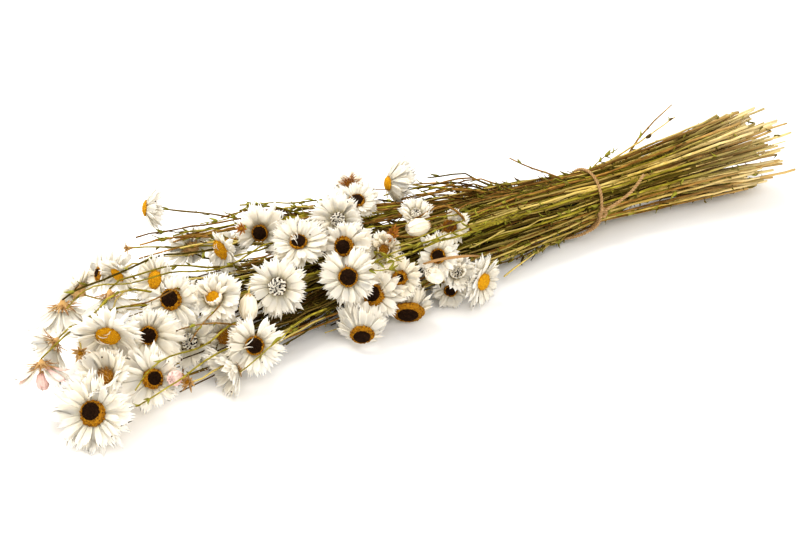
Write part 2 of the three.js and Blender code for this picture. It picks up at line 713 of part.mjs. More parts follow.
function twine() {
  const loop = [];
  for (let k = 0; k <= TIE_STEPS; k += 1) {
    const angle = KNOT_ANGLE + (2 * Math.PI * k) / TIE_STEPS;
    loop.push(onRing(TIE_X + TIE_SLANT * Math.sin(angle), TIE_CENTRE, TIE_RADIUS, angle));
  }
  const rope = (points) => solidOf(tube(points, points.map(() => TWINE_RADIUS), TWINE_SIDES));
  const half = TIE_STEPS / 2;
  const knot = onRing(TIE_X + TIE_SLANT * Math.sin(KNOT_ANGLE), TIE_CENTRE, TIE_RADIUS + 1, KNOT_ANGLE);
  const ball = new THREE.IcosahedronGeometry(KNOT_RADIUS, 1);
  ball.translate(knot.x, knot.y, knot.z);
  const tails = TAILS.map((tail) => rope([knot, ...tail.map((point) => vector(...point))]));
  return joined([rope(loop.slice(0, half + 1)), rope(loop.slice(half)), solidOf(ball), ...tails]);
}

// The bunch

const finish = (name, color, roughness) =>
  new THREE.MeshStandardMaterial({ name, color, roughness, metalness: 0 });
const petalFinish = () => finish('petals', 0xf3ede0, 0.7);
const discFinishes = {
  dark: () => finish('dark_disc', 0x2a160e, 0.85),
  yellow: () => finish('yellow_disc', 0xc98a1a, 0.8),
};
const stemFinish = () => finish('stems', 0x8f8a3e, 0.75);
const twineFinish = () => finish('twine', 0x8a6238, 0.9);

const bunch = new THREE.Group();
const grownStems = stems(true);
const stars = HEADS.filter(({ kind }) => kind === 'star').map((flower) => solidOf(openHead(flower)));
const stemNode = mainBody(joined([...stems(false), ...stars]));
bunch.add(meshOf('stems_and_leaves', stemNode, stemFinish()));
bunch.add(meshOf('twine_tie', twine(), twineFinish()));

// Heads that press into each other are one body.
const clusters = new Map();
for (const flower of HEADS.filter(({ kind }) => kind !== 'star')) {
  const key = flower.cluster ?? flower.name;
  clusters.set(key, [...(clusters.get(key) ?? []), flower]);
}
for (const cluster of clusters.values()) {
  const names = cluster.map((flower) => flower.name);
  const whole = joined(cluster.map((flower) => solidOf(headGeometry(flower))));
  const passing = grownStems.filter((solid) => whole.intersect(solid).volume() > 0);
  const body = passing.length ? mainBody(whole.subtract(joined(passing))) : whole;
  bunch.add(meshOf(`daisy_${names.join('_')}`, body, petalFinish()));
  for (const flower of cluster.filter(({ disc }) => disc)) {
    bunch.add(meshOf(`disc_${flower.name}`, solidOf(discGeometry(flower)), discFinishes[flower.disc]()));
  }
}

export default bunch;
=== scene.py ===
"""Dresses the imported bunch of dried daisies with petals, florets, bracts, stems, leaves and twine.

Shapes are worked out in millimetres: x runs along the bunch to the cut ends of its stems, y across
it, and z up from the surface that it lies on. A mesh gets its points in metres.
"""
import math

import bmesh
import bpy
import numpy as np
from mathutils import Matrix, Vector


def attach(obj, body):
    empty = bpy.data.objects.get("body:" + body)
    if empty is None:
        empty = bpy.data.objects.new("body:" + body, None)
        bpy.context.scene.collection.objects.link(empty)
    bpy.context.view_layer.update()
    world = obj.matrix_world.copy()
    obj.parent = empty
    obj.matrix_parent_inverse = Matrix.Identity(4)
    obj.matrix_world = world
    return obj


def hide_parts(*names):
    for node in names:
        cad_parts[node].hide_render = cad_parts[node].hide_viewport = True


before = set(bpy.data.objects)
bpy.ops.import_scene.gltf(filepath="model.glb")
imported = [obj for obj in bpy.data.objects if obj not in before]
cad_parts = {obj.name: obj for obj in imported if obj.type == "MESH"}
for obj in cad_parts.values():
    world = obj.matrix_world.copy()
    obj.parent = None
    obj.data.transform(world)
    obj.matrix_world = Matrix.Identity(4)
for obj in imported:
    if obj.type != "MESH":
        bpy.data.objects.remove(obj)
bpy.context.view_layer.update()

MM = 0.001

# The camera of the photograph: turn round the upright, height, distance and what it looks at
VIEW_TURN = math.radians(-29.3)
VIEW_TILT = math.radians(32)
VIEW_DISTANCE = 974
VIEW_TARGET = (-35.6, -20.35, 20)
LENS_MM = 67.5

# The floor, in metres, and the colours of the light
FLOOR_SIZE = 8
FLOOR_DROP = 0.0004
FLOOR_COLOUR = (0.92, 0.92, 0.92, 1)
LIGHT_COLOUR = (1.0, 0.97, 0.93)
SKY_COLOUR = (1, 0.99, 0.975, 1)
SKY_STRENGTH = 0.86

# The tie, its twine of two plies, and the cut end of the bundle
TIE_X = 120
TWINE_X = 118
TIE_CENTRE = (-8, 22)
TIE_RADIUS = 20.6
TIE_SLANT = 3
KNOT_ANGLE = math.pi
PLY_RADIUS = 0.62
PLY_OFFSET = 0.6
PLY_PITCH = 4.2
PLY_STEP = 0.8
KNOT_WIDTH = 2.7
KNOT_DEPTH = 1.3
KNOT_HEIGHT = 2.8
KNOT_OUT = 0.9
CUT_END_X = 262
CUT_END_CENTRE = (-16, 30)
CUT_END_SPREAD = 42
CUT_END_FLARE = 1.5
FLOOR_SECTOR = math.radians(28)

# Stems: their thickness, where they pass the tie, and how they fan out to the heads
STEM_SEED = 20
STEM_RADIUS = 0.9
NECK_RADIUS = 0.56
OUTER_RING = 17.8
INNER_RING = 10
INNER_START_X = 0
INNER_CENTRE = (-7, 21)
INNER_END_X = 184
INNER_END_CENTRE = (-11, 27)
SPREAD_CENTRE = (-6, 26)
FAN_REACH = 0.5
FAN_WIDTH = 0.9
FAN_HEIGHT = 0.55
NECK_BEND = 24
HANGING_BEND = 14
HANGING_TILT = -0.7
LOWEST_STEM = 5
WAY_STEPS = 28
PASSING_DEPTH = 7.5
PASSING_HEIGHT = 11
PASSING_REACH = 1.4
PASSING_WINDOW = 34
ALONG_AXIS = 0.8
CLEAR_PASSES = 4
BRANCH_PLACE = 0.8
BRANCH_REACH = 0.4
PACKED_STEMS = 200
LOOSE_STEMS = 165
LOOSE_START_X = 40
LOOSE_OUTLINE_X = 30
COMPANIONS = 2
SPRIG_LEAVES = 44
LEAVES_PART_AT = -20
CORE_INSET = 0.93
CORE_SIDES = 24
STRAW_BELOW = 0.5
OLIVE_BELOW = 0.82
OLD_STEM_SHARE = 0.25
OLD_STEM_TONE = 0.85
STEM_CLEARANCE = 0.9
SHOOT_CLEARANCE = 0.6
SHORTEST_LEAF = 2.6
LEAF_LENGTH_PLAY = 5

# The bundle's core: place along the bunch, middle across and above the surface, half width, half height
CORE_STATIONS = (
    (196, -11, 27, 7, 7),
    (155, -9, 24, 13, 13),
    (125, -8, 22, 16.6, 16.6),
    (115, -8, 22, 16.6, 16.6),
    (92, -7, 21.5, 15, 17.5),
    (65, -6.5, 21.5, 14.5, 17.5),
    (30, -6.5, 20.5, 14.5, 16.5),
    (-12, -7, 20, 12, 10),
)

# How a finish changes along a piece: from where to where, in its UV map or in metres, and how much
ROOT_FADE = (0.35, 0.0, 0.7)
GREEN_FADE = (0.2, -0.02, 0.75)
CUT_FADE = (0.18, 0.27, 0.8)
# How much of the tone, age and painted shade alike, is left at the cut end
AGE_AND_SHADE_AT_CUT = 0.15
RELIEF_DEPTH = 0.0004
SHEER_DEPTH = 0.0025

# Heads
HEAD_SEED = 7919
PETAL_PITCH = 6.2
PETAL_CROWD = 3
LAYER_STEP = 0.3
LONGEST = 1.14
LENGTH_PLAY = 0.34
NARROWEST = 0.74
WIDTH_PLAY = 0.38
RISE_PLAY = 12
CURL_PLAY = 18
NARROW_SHARE = 0.48
NARROW_WIDTH = 0.62
PINK_SHARE = 0.4
CALYX_DEPTH = 5.5
CALYX_BRACTS = 9
STAR_BEADS = 9
DISC_SHARE = 0.175
DISC_ROOM = 0.5
DISC_HEIGHT = 2.4
DISC_IN_PETALS = 0.9
SEAT = 0.3
SQUEEZE_ZONE = 5
PRESSED_GAP = -3
BUD_REACH = 0.75
BUD_BEHIND = 0.4
YELLOW_FLORETS = 95
DARK_FLORETS = 90
FOLDED_PETALS = 34
BRISTLES = 44
SPECK_SHARE = 0.05
GOLDEN_TURN = math.pi * (3 - math.sqrt(5))

# How far a head's petals rise above the plane of its disc and how much further their tips rise
KINDS = {
    "open": (12, 8),
    "flat": (3, -4),
    "cup": (48, -6),
    "hanging": (42, -14),
    "swept": (-34, -8),
    "star": (25, 0),
    "bud": (5, 184),
}

# Layers of petals from below: how much more they rise, their share of the full number, their reach
PETAL_LAYERS = ((-9, 1.0, 1.12), (0, 1.0, 1.08), (9, 0.75, 0.96))

# Inner petals that stand up, before the disc and behind it: their rise, their root's place, their length
UPRIGHT_NEAR = (112, 0.85, 0.7)
UPRIGHT_FAR = (68, 0.5, 0.85)

# The layers of a bud by their reach, and those of a star by their rise and reach
BUD_LAYERS = (1.38, 1.46)
STAR_LAYERS = ((8, 0.5), (42, 0.4))

# A calyx: its rows of bracts from below by depth, radius, rise and length, then their width and their age
CALYX = (((4.6, 1.0, 38, 5.2), (3.2, 2.4, 30, 4.4), (2.0, 3.8, 22, 3.6)), 1.5, 0)
HANGING_CALYX = (((3.6, 1.0, 26, 6.6), (2.4, 2.2, 10, 7.4), (1.2, 3.6, -6, 6.4)), 1.15, 0.25)


def head(name, at, facing, width, kind, **more):
    """A flower head: where its disc is, the way it faces (turn and tilt), its width and its kind."""
    return dict(name=name, at=at, facing=facing, width=width, kind=kind, **more)


HEADS = [
    head("01", (-261, -68, 17), (-130, 37), 45, "open", disc="dark", cluster="a", ring=0.24,
         lean=(-1.0, 1.1), spread=1.06),
    head("02", (-237, -34, 42), (-119, -12), 42, "open", disc="yellow", curls=4, longer=(0, 0.15),
         spread=1.12),
    head("03", (-213, -34, 34), (-113, 26), 35, "open", disc="dark", disc_share=0.82, longer=(0.25, -0.25),
         spread=1.15),
    head("04", (-192, -20, 44), (-130, 37), 38, "open", disc="dark", ring=0.13, lean=(-0.9, 0.6),
         longer=(0.3, -0.35), gap=(130, 20)),
    head("05", (-191, 9, 42), (-163, 30), 34, "open", disc="yellow", leaves=2, spread=0.95),
    head("06", (-222, -61, 23), (-105, 25), 36, "open", disc="dark", cluster="b", ring=0.26, lean=(1, 0.3),
         longer=(-0.25, 0.05), spread=1.1),
    head("07", (-208, -66, 22), (-130, 30), 11, "bud", cluster="b", tint="pink"),
    head("08", (-247, -53, 28), (-140, 60), 32, "cup", cluster="a", centre="fuzzy", spread=1.3),
    head("09", (-278, -35, 34), (-119, -76), 30, "hanging", cluster="m", heart=True, gap=(90, 38), leaves=3,
         tint="pink", spread=1.3),
    head("10", (-250, 9, 40), (-119, -80), 37, "hanging", leaves=2, spread=1.3),
    head("11", (-266, -18, 36), (170, -40), 28, "hanging", spread=1.3),
    head("12", (-256, -40, 40), (-119, 10), 12, "star"),
    head("13", (-223, 0, 44), (-100, -70), 32, "hanging", spread=1.3),
    head("14", (-215, 45, 34), (176, 28), 27, "open", cluster="c", leaves=3, centre="dark", ring=0.3),
    head("15", (-208, 29, 40), (-150, -10), 28, "open", cluster="c", centre="yellow"),
    head("16", (-205, -73, 22), (-160, 30), 12, "star"),
    head("17", (-190, 62, 36), (170, 0), 9, "star", leaves=4),
    head("18", (-171, 73, 55), (162, 10), 30, "swept", leaves=3, centre="yellow", spread=1.3),
    head("19", (-117, 16, 50), (-126, 26), 35, "open", disc="dark", disc_share=0.8, longer=(0.15, 0.25),
         gap=(262, 34)),
    head("20", (-145, 13, 48), (-161, -1), 30, "open", centre="yellow", disc_share=1.2, curls=3,
         longer=(0.25, -0.1), gap=(170, 45)),
    head("21", (-130, 14, 58), (-150, 30), 9, "star", tint="rust"),
    head("22", (-169, -30, 44), (-119, 44), 34, "cup", disc="yellow", leaves=2, longer=(0.25, -0.1),
         spread=1.15, disc_share=0.72, upright=True),
    head("23", (-102, -9, 52), (-119, 65), 36, "open", disc="dark", disc_share=0.8, curls=5,
         longer=(0, -0.15), spread=1.12),
    head("24", (-131, -39, 45), (-119, 32), 37, "open", cluster="d", centre="closed", gap=(215, 9)),
    head("25", (-151, -41, 46), (-119, -60), 13, "bud", cluster="d"),
    head("26", (-159, -65, 27), (-119, 32), 37, "open", disc="dark", disc_share=0.8, cluster="e", curls=2,
         gap=(82, 8), spread=0.95),
    head("27", (-173, -65, 15), (-173, -6), 36, "cup", cluster="e", centre="closed", longer=(-0.1, 0.1),
         spread=1.15),
    head("28", (-168, -41, 22), (-119, 32), 32, "open", cluster="f", centre="fuzzy", spread=1.15),
    head("29", (-188, -34, 21), (-112, 32), 32, "open", cluster="f", centre="closed", spread=1.2),
    head("30", (-41, 38, 54), (-119, 55), 21, "open", centre="fuzzy", tint="rust"),
    head("31", (-49, 13, 56), (-119, 69), 30, "open", disc="dark", curls=3),
    head("32", (-70, -1, 55), (-119, 32), 32, "open", centre="closed", longer=(-0.1, 0), spread=1.1),
    head("33", (-77, -23, 49), (-133, 31), 32, "open", disc="dark", disc_share=1.1, ring=0.24,
         lean=(-0.5, -0.4), longer=(0.25, 0.1)),
    head("34", (-88, -49, 44), (-119, 32), 38, "flat", disc="dark", disc_share=0.84, ring=0.08,
         gap=(100, 15)),
    head("35", (-71, -50, 26), (-127, 38), 35, "open", disc="dark", disc_share=1.1, cluster="g", ring=0.24,
         lean=(-1, 0.6), longer=(0.2, 0.1)),
    head("36", (-88, -66, 12), (-119, -12), 36, "swept", disc="dark", disc_share=1.12, leaves=2, ring=0.22,
         lean=(0, -0.9), longer=(0, 0.35), gap=(270, 40)),
    head("37", (-16, 30, 52), (173, 13), 29, "swept", disc="yellow", longer=(0, 0.28), spread=1.5),
    head("38", (-50, -57, 11), (-119, -20), 34, "swept", disc="dark", disc_share=1.65, aged=0.3, ring=0.3,
         lean=(-0.4, -1.4), longer=(0, 0.3), gap=(270, 26)),
    head("39", (-54, -53, 35), (-119, 32), 28, "open", cluster="g", centre="dark", ring=0.4, aged=0.45),
    head("40", (-23, -19, 55), (-119, 62), 24, "cup", cluster="h", centre="closed"),
    head("41", (-24, -36, 56), (176, 2), 13, "bud", cluster="h"),
    head("42", (-8, -36, 50), (-119, 49), 26, "open", disc="dark", ring=0.3, aged=0.35, worn=0.7,
         gap=(165, 75)),
    head("43", (-26, -52, 42), (-119, 32), 27, "open", disc="dark", gap=(160, 10)),
    head("44", (-33, -68, 36), (-175, 40), 11.5, "bud", cluster="i"),
    head("45", (-14, -54, 28), (-100, 29), 27, "cup", cluster="i", centre="closed", upright=True, aged=0.1),
    head("46", (-15, -50, 12), (-119, 8), 24, "open", centre="dark"),
    head("47", (5, -57, 16), (-74, 7), 34, "open", disc="yellow", longer=(-0.3, 0.15)),
    head("48", (-49, -35, 55), (-160, 40), 11, "star", tint="rust"),
    head("49", (-55, -34, 46), (-119, 32), 27, "cup", centre="fuzzy", aged=0.5, upright=True),
    head("50", (-47, -33, 57), (-90, 30), 9, "star", tint="rust"),
    head("51", (-227, 55, 20), (115, 20), 34, "open", cluster="j", centre="dark", ring=0.2),
    head("52", (-203, 60, 23), (85, 8), 30, "open", cluster="j", centre="closed"),
    head("53", (-147, 63, 23), (91, 11), 34, "open", cluster="k", centre="yellow"),
    head("54", (-124, 61, 17), (63, 9), 31, "open", cluster="k", centre="dark", ring=0.3),
    head("55", (-85, 54, 21), (85, 24), 34, "open", cluster="l", centre="dark"),
    head("56", (-58, 46, 20), (64, 6), 30, "open", cluster="l", centre="closed"),
    head("57", (-39, 38, 26), (67, 13), 33, "open", cluster="l", centre="dark", ring=0.24),
]

# Leafy sprigs without a flower, twigs, a long dry leaf on the heads, and the two tails of the tie
SPRIGS = (
    ((-115, 52, 52), (-70, 40, 52), 4),
    ((-166, 30, 46), (-120, 30, 48), 4),
    ((-172, 52, 42), (-120, 46, 44), 4),
    ((-95, 28, 56), (-55, 24, 56), 4),
    ((30, -44, 5), (60, -36, 12), 3),
)
TWIGS = (
    (9, (112, -8, 34), (96, -10, 45), (83, 3, 49), (74, 21, 52)),
    (2, (160, 2, 38), (179, 12, 50), (192, 13, 56), (210, 17, 62)),
)
FALLEN_LEAF_ROOT = (-46, -68, 51)
FALLEN_LEAF_WAY = (1, -0.2, 0)
FALLEN_LEAF = dict(length=37, width=3.0, slope=0.12, curl=-0.3, thick=0.3, trough=0.1)
TAILS = (
    ((128, -32, 27), (138, -36, 36), (150, -32, 44)),
    ((114, -33, 14), (102, -28, 7), (86, -19, 3)),
)


def draws(seed):
    """Seeded draws between 0 and 1, the same on every run."""
    state = seed
    while True:
        state = (state * 1664525 + 1013904223) % 4294967296
        yield state / 4294967296


def unit(vector):
    """The same way, of length 1."""
    return vector / np.linalg.norm(vector)


# Selecting and shaping


def only(*objects):
    """Selects these objects and no others, and makes the first one active."""
    for each in list(bpy.context.selected_objects):
        each.select_set(False)
    for each in objects:
        each.select_set(True)
    bpy.context.view_layer.objects.active = objects[0]


def pick(obj, wanted):
    """Selects, in edit mode, the vertices whose place passes the test."""
    bpy.ops.mesh.select_all(action="DESELECT")
    mesh = bmesh.from_edit_mesh(obj.data)
    for vertex in mesh.verts:
        vertex.select = wanted(vertex.co)
    mesh.select_flush(True)
    bmesh.update_edit_mesh(obj.data)


def as_template(obj, name, finish):
    """Names a shape that copies are made of and gives it its finish."""
    only(obj)
    bpy.ops.object.transform_apply(location=True, rotation=True, scale=True)
    bpy.ops.object.shade_smooth()
    obj.name = name
    obj.data.materials.append(finish)
    obj.data.attributes.new("tone", "FLOAT", "POINT")
    return obj


def points_of(obj):
    """The points of a shape, one row for each."""
    points = np.empty(len(obj.data.vertices) * 3, np.float32)
    obj.data.vertices.foreach_get("co", points)
    return points.reshape(-1, 3).astype(float)


def joined(name, placed):
    """One piece of copies of templates: each has its template, its points and its tone."""
    copies = []
    for template, points, tone in placed:
        copy = bpy.data.objects.new(name, template.data.copy())
        bpy.context.scene.collection.objects.link(copy)
        copy.data.vertices.foreach_set("co", (points * MM).astype(np.float32).ravel())
        copy.data.attributes["tone"].data.foreach_set("value", np.full(len(points), tone, np.float32))
        copies.append(copy)
    only(*copies)
    bpy.ops.object.join()
    piece = copies[0]
    piece.name = piece.data.name = name
    return piece


def kept(piece, slot, *nodes):
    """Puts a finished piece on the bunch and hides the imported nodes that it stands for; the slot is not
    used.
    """
    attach(piece, "root")
    if nodes:
        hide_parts(*nodes)
    return piece


# Finishes


def added(tree, kind, inputs, **settings):
    """A new node in a tree, with a value or the socket that feeds it for each of its inputs."""
    node = tree.nodes.new("ShaderNode" + kind)
    for name, value in settings.items():
        setattr(node, name, value)
    for label, value in inputs.items():
        if isinstance(value, bpy.types.NodeSocket):
            tree.links.new(value, node.inputs[label])
        else:
            node.inputs[label].default_value = value
    return node


def remapped(tree, value, start, end, low=0.0, high=1.0):
    """A mask that goes from low to high while a value goes from start to end."""
    inputs = {"Value": value, "From Min": start, "From Max": end, "To Min": low, "To Max": high}
    return added(tree, "MapRange", inputs).outputs["Result"]


def mask_group(name, **inputs):
    """A node group that reads a vector and some numbers and puts out one mask."""
    group = bpy.data.node_groups.new(name, "ShaderNodeTree")
    group.interface.new_socket("Vector", in_out="INPUT", socket_type="NodeSocketVector")
    for label, value in inputs.items():
        socket = group.interface.new_socket(label, in_out="INPUT", socket_type="NodeSocketFloat")
        socket.default_value = value
    group.interface.new_socket("Mask", in_out="OUTPUT", socket_type="NodeSocketFloat")
    return group, group.nodes.new("NodeGroupInput").outputs, group.nodes.new("NodeGroupOutput").inputs


def mottle_group():
    """Soft patches in two sizes, as on anything that has dried in the air."""
    group, given, result = mask_group("dried_mottle", Scale=100.0)
    finer = added(group, "Math", {0: given["Scale"], 1: 6}, operation="MULTIPLY").outputs[0]
    broad = added(group, "TexNoise", {"Vector": given["Vector"], "Scale": given["Scale"], "Detail": 3})
    fine = added(group, "TexNoise", {"Vector": given["Vector"], "Scale": finer, "Detail": 2})
    weights = {0: fine.outputs["Fac"], 1: 0.35, 2: broad.outputs["Fac"]}
    both = added(group, "Math", weights, operation="MULTIPLY_ADD").outputs[0]
    group.links.new(remapped(group, both, 0.45, 0.9), result["Mask"])
    return group


def streak_group():
    """Fine lines along a petal, leaf or stem: a noise drawn out along the piece."""
    group, given, result = mask_group("lengthwise_streaks", Across=18.0, Along=0.8)
    stretch = added(group, "CombineXYZ", {"X": given["Across"], "Y": given["Along"], "Z": given["Across"]})
    vectors = {0: given["Vector"], 1: stretch.outputs[0]}
    stretched = added(group, "VectorMath", vectors, operation="MULTIPLY").outputs[0]
    noise = added(group, "TexNoise", {"Vector": stretched, "Scale": 1, "Detail": 2}).outputs["Fac"]
    group.links.new(remapped(group, noise, 0.35, 0.65), result["Mask"])
    return group


MOTTLE = mottle_group()
STREAKS = streak_group()


def mixed(tree, factor, first, second):
    """A colour between two: each is a colour or the socket of one."""
    inputs = {"Factor": factor}
    for label, value in (("A", first), ("B", second)):
        inputs[label] = value if isinstance(value, bpy.types.NodeSocket) else (*value, 1)
    return added(tree, "Mix", inputs, data_type="RGBA").outputs["Result"]


def fade(tree, place, axis, start, end, most):
    """A mask that grows to its most from one place to another on a piece."""
    along = added(tree, "SeparateXYZ", {0: place}).outputs[axis]
    return remapped(tree, along, start, end, 0, most)


def plant_finish(name, pale, deep, aged, streak=0.4, patch=90, across=18, along=0.8, rough=(0.6, 0.8),
                 relief=0.3, sheer=0.0, rooted=None, drawn_out=False, greening=None, bleached=None,
                 gloss=0.25):
    """A dried plant's skin: patches of two colours, streaks along it, and a tone for each copy that darkens
    it towards the aged colour, for its age and as painted shade.
    """
    material = bpy.data.materials.new(name)
    material.use_nodes = True
    tree = material.node_tree
    place = added(tree, "TexCoord", {}).outputs
    where = {"Vector": place["Object"], "Scale": patch}
    patches = added(tree, "Group", where, node_tree=MOTTLE).outputs["Mask"]
    run = place["UV"]
    if drawn_out:
        turned = {"Vector": place["Object"], "Rotation": (0, 0, math.pi / 2)}
        run = added(tree, "Mapping", turned).outputs["Vector"]
    where = {"Vector": run, "Across": across, "Along": along}
    lines = added(tree, "Group", where, node_tree=STREAKS).outputs["Mask"]
    colour = mixed(tree, patches, pale, deep)
    streaked = remapped(tree, lines, 0, 1, 0, streak)
    colour = mixed(tree, streaked, colour, aged if drawn_out else deep)
    if rooted:
        colour = mixed(tree, fade(tree, place["UV"], "Y", *ROOT_FADE), colour, rooted)
    if greening:
        colour = mixed(tree, fade(tree, place["Object"], "X", *GREEN_FADE), colour, greening)
    # The tone darkens a copy towards the aged colour: for its age, and for stems and leaves deep in the
    # bundle or under the heads as painted shade
    age_and_shade = added(tree, "Attribute", {}, attribute_name="tone").outputs["Fac"]
    if bleached:
        near_cut = fade(tree, place["Object"], "X", *CUT_FADE)
        colour = mixed(tree, near_cut, colour, bleached)
        left = remapped(tree, near_cut, 0, 1, 1, AGE_AND_SHADE_AT_CUT)
        age_and_shade = added(tree, "Math", {0: age_and_shade, 1: left}, operation="MULTIPLY").outputs[0]
    bump = added(tree, "Bump", {"Strength": relief, "Distance": RELIEF_DEPTH, "Height": lines})
    shader = tree.nodes["Principled BSDF"]
    tree.links.new(mixed(tree, age_and_shade, colour, aged), shader.inputs["Base Color"])
    tree.links.new(remapped(tree, patches, 0, 1, *rough), shader.inputs["Roughness"])
    tree.links.new(bump.outputs["Normal"], shader.inputs["Normal"])
    shader.inputs["Specular IOR Level"].default_value = gloss
    if sheer:
        shader.inputs["Subsurface Weight"].default_value = sheer
        shader.inputs["Subsurface Radius"].default_value = (1.0, 1.0, 1.0)
        shader.inputs["Subsurface Scale"].default_value = SHEER_DEPTH
    return material


PETAL_SKIN = dict(across=14, along=0.5)
BRACT_SKIN = dict(streak=0.6, patch=260, across=8, relief=0.4)
FLORET_SKIN = dict(patch=700, rough=(0.7, 0.95), relief=0.5, gloss=0.15)
STEM_SKIN = dict(patch=60, across=900, along=25, relief=0.5, drawn_out=True, gloss=0.04)

PAPER = plant_finish("paper_petals", (0.955, 0.91, 0.80), (0.94, 0.86, 0.69), (0.89, 0.75, 0.48), streak=0.3,
                     relief=0.12, sheer=0.8, rooted=(0.93, 0.82, 0.48), gloss=0.12, **PETAL_SKIN)
BUD = plant_finish("bud_petals", (0.90, 0.85, 0.74), (0.88, 0.79, 0.62), (0.80, 0.66, 0.42), streak=0.5,
                   relief=0.25, gloss=0.12, **PETAL_SKIN)
PINK = plant_finish("pink_petals", (0.91, 0.76, 0.67), (0.74, 0.43, 0.41), (0.76, 0.60, 0.45), streak=0.5,
                    patch=200, relief=0.25, **PETAL_SKIN)
DARK = plant_finish("dark_florets", (0.030, 0.013, 0.005), (0.008, 0.003, 0.001), (0.13, 0.055, 0.018),
                    patch=900, rough=(0.8, 1.0), relief=0.5, gloss=0.08)
OCHRE = plant_finish("ochre_florets", (0.64, 0.34, 0.018), (0.40, 0.17, 0.008), (0.13, 0.045, 0.006),
                     **FLORET_SKIN)
YELLOW = plant_finish("yellow_florets", (0.88, 0.52, 0.015), (0.62, 0.30, 0.010), (0.38, 0.15, 0.010),
                      **FLORET_SKIN)
BRACT = plant_finish("bracts", (0.72, 0.52, 0.26), (0.52, 0.30, 0.10), (0.22, 0.09, 0.02), **BRACT_SKIN)
RUST = plant_finish("rust_bracts", (0.66, 0.31, 0.055), (0.38, 0.13, 0.025), (0.14, 0.045, 0.006),
                    **BRACT_SKIN)
# The aged colour of the stems and the leaves is also their painted shade where they lie deep in the bundle or
# under the heads
STRAW = plant_finish("straw_stems", (0.98, 0.76, 0.29), (0.70, 0.46, 0.07), (0.07, 0.034, 0.003), streak=0.55,
                     greening=(0.68, 0.56, 0.19), bleached=(1.0, 0.83, 0.50), **STEM_SKIN)
OLIVE = plant_finish("olive_stems", (0.58, 0.49, 0.07), (0.27, 0.215, 0.02), (0.038, 0.022, 0.003),
                     streak=0.6, bleached=(0.90, 0.71, 0.36), **STEM_SKIN)
BROWN = plant_finish("brown_stems", (0.54, 0.30, 0.075), (0.20, 0.095, 0.016), (0.020, 0.009, 0.002),
                     streak=0.6, bleached=(0.76, 0.53, 0.22), **STEM_SKIN)
LEAF = plant_finish("curled_leaves", (0.47, 0.45, 0.06), (0.24, 0.24, 0.03), (0.10, 0.055, 0.010), streak=0.5,
                    patch=260, across=6, relief=0.4, gloss=0.15)
# The bundle's core is near black as painted shade between its stems
PAINTED_SHADE_CORE = plant_finish("stem_shadow", (0.05, 0.03, 0.008), (0.02, 0.012, 0.004), (0.01, 0.006, 0.002),
                         patch=300, across=900, along=25, drawn_out=True)
TWINE = plant_finish("twine_fibre", (0.66, 0.45, 0.22), (0.46, 0.27, 0.11), (0.26, 0.13, 0.05), streak=0.6,
                     patch=500, across=2600, along=400, relief=0.8, drawn_out=True)


# Templates that copies are made of


def strip(name, columns, widths, tips, finish):
    """A flat strip from its root to its tip, with the width at each row and the tip cut in teeth."""
    rows = len(widths) - 1
    bpy.ops.mesh.primitive_grid_add(x_subdivisions=columns, y_subdivisions=rows, size=1, location=(0, 0.5, 0))
    shape = bpy.context.object
    only(shape)
    bpy.ops.object.transform_apply(location=True)
    bpy.ops.object.mode_set(mode="EDIT")
    for row, width in enumerate(widths):
        level = row / rows
        pick(shape, lambda co: abs(co.y - level) < 0.01)
        bpy.ops.transform.resize(value=(width, 1, 1), center_override=(0, level, 0))
    reach = widths[-1]
    for column, cut in enumerate(tips):
        place = reach * (column / columns - 0.5)
        pick(shape, lambda co: co.y > 0.99 and abs(co.x - place) < 0.01)
        bpy.ops.transform.translate(value=(0, -cut, 0))
    bpy.ops.object.mode_set(mode="OBJECT")
    thick = shape.modifiers.new("thickness", "SOLIDIFY")
    thick.thickness = 1
    thick.offset = 0
    bpy.ops.object.modifier_apply(modifier="thickness")
    return as_template(shape, name, finish)


def dome(name, finish):
    """The low dome of a disc, of unit radius and height."""
    bpy.ops.mesh.primitive_uv_sphere_add(segments=24, ring_count=12, radius=1)
    shape = bpy.context.object
    only(shape)
    bpy.ops.object.mode_set(mode="EDIT")
    bpy.ops.mesh.select_all(action="SELECT")
    bpy.ops.mesh.bisect(plane_co=(0, 0, -0.05), plane_no=(0, 0, 1), use_fill=True, clear_inner=True)
    bpy.ops.object.mode_set(mode="OBJECT")
    return as_template(shape, name, finish)


def bead(name, finish):
    """A small round floret, of unit radius."""
    bpy.ops.mesh.primitive_ico_sphere_add(subdivisions=1, radius=1)
    return as_template(bpy.context.object, name, finish)


def floret(name, finish):
    """A floret with a blunt point, five sides and its root at the origin."""
    bpy.ops.mesh.primitive_cone_add(vertices=5, radius1=1, radius2=0.35, depth=1, location=(0, 0, 0.5))
    return as_template(bpy.context.object, name, finish)


def calyx_cup(name, finish):
    """The cup under a head, from the stem to the roots of its petals."""
    bpy.ops.mesh.primitive_cone_add(vertices=14, radius1=0.22, radius2=1, depth=1, location=(0, 0, -0.5))
    shape = bpy.context.object
    only(shape)
    bpy.ops.object.mode_set(mode="EDIT")
    pick(shape, lambda co: co.z > 0.4)
    bpy.ops.mesh.bevel(offset=0.12, segments=2, affect="EDGES")
    bpy.ops.object.mode_set(mode="OBJECT")
    return as_template(shape, name, finish)


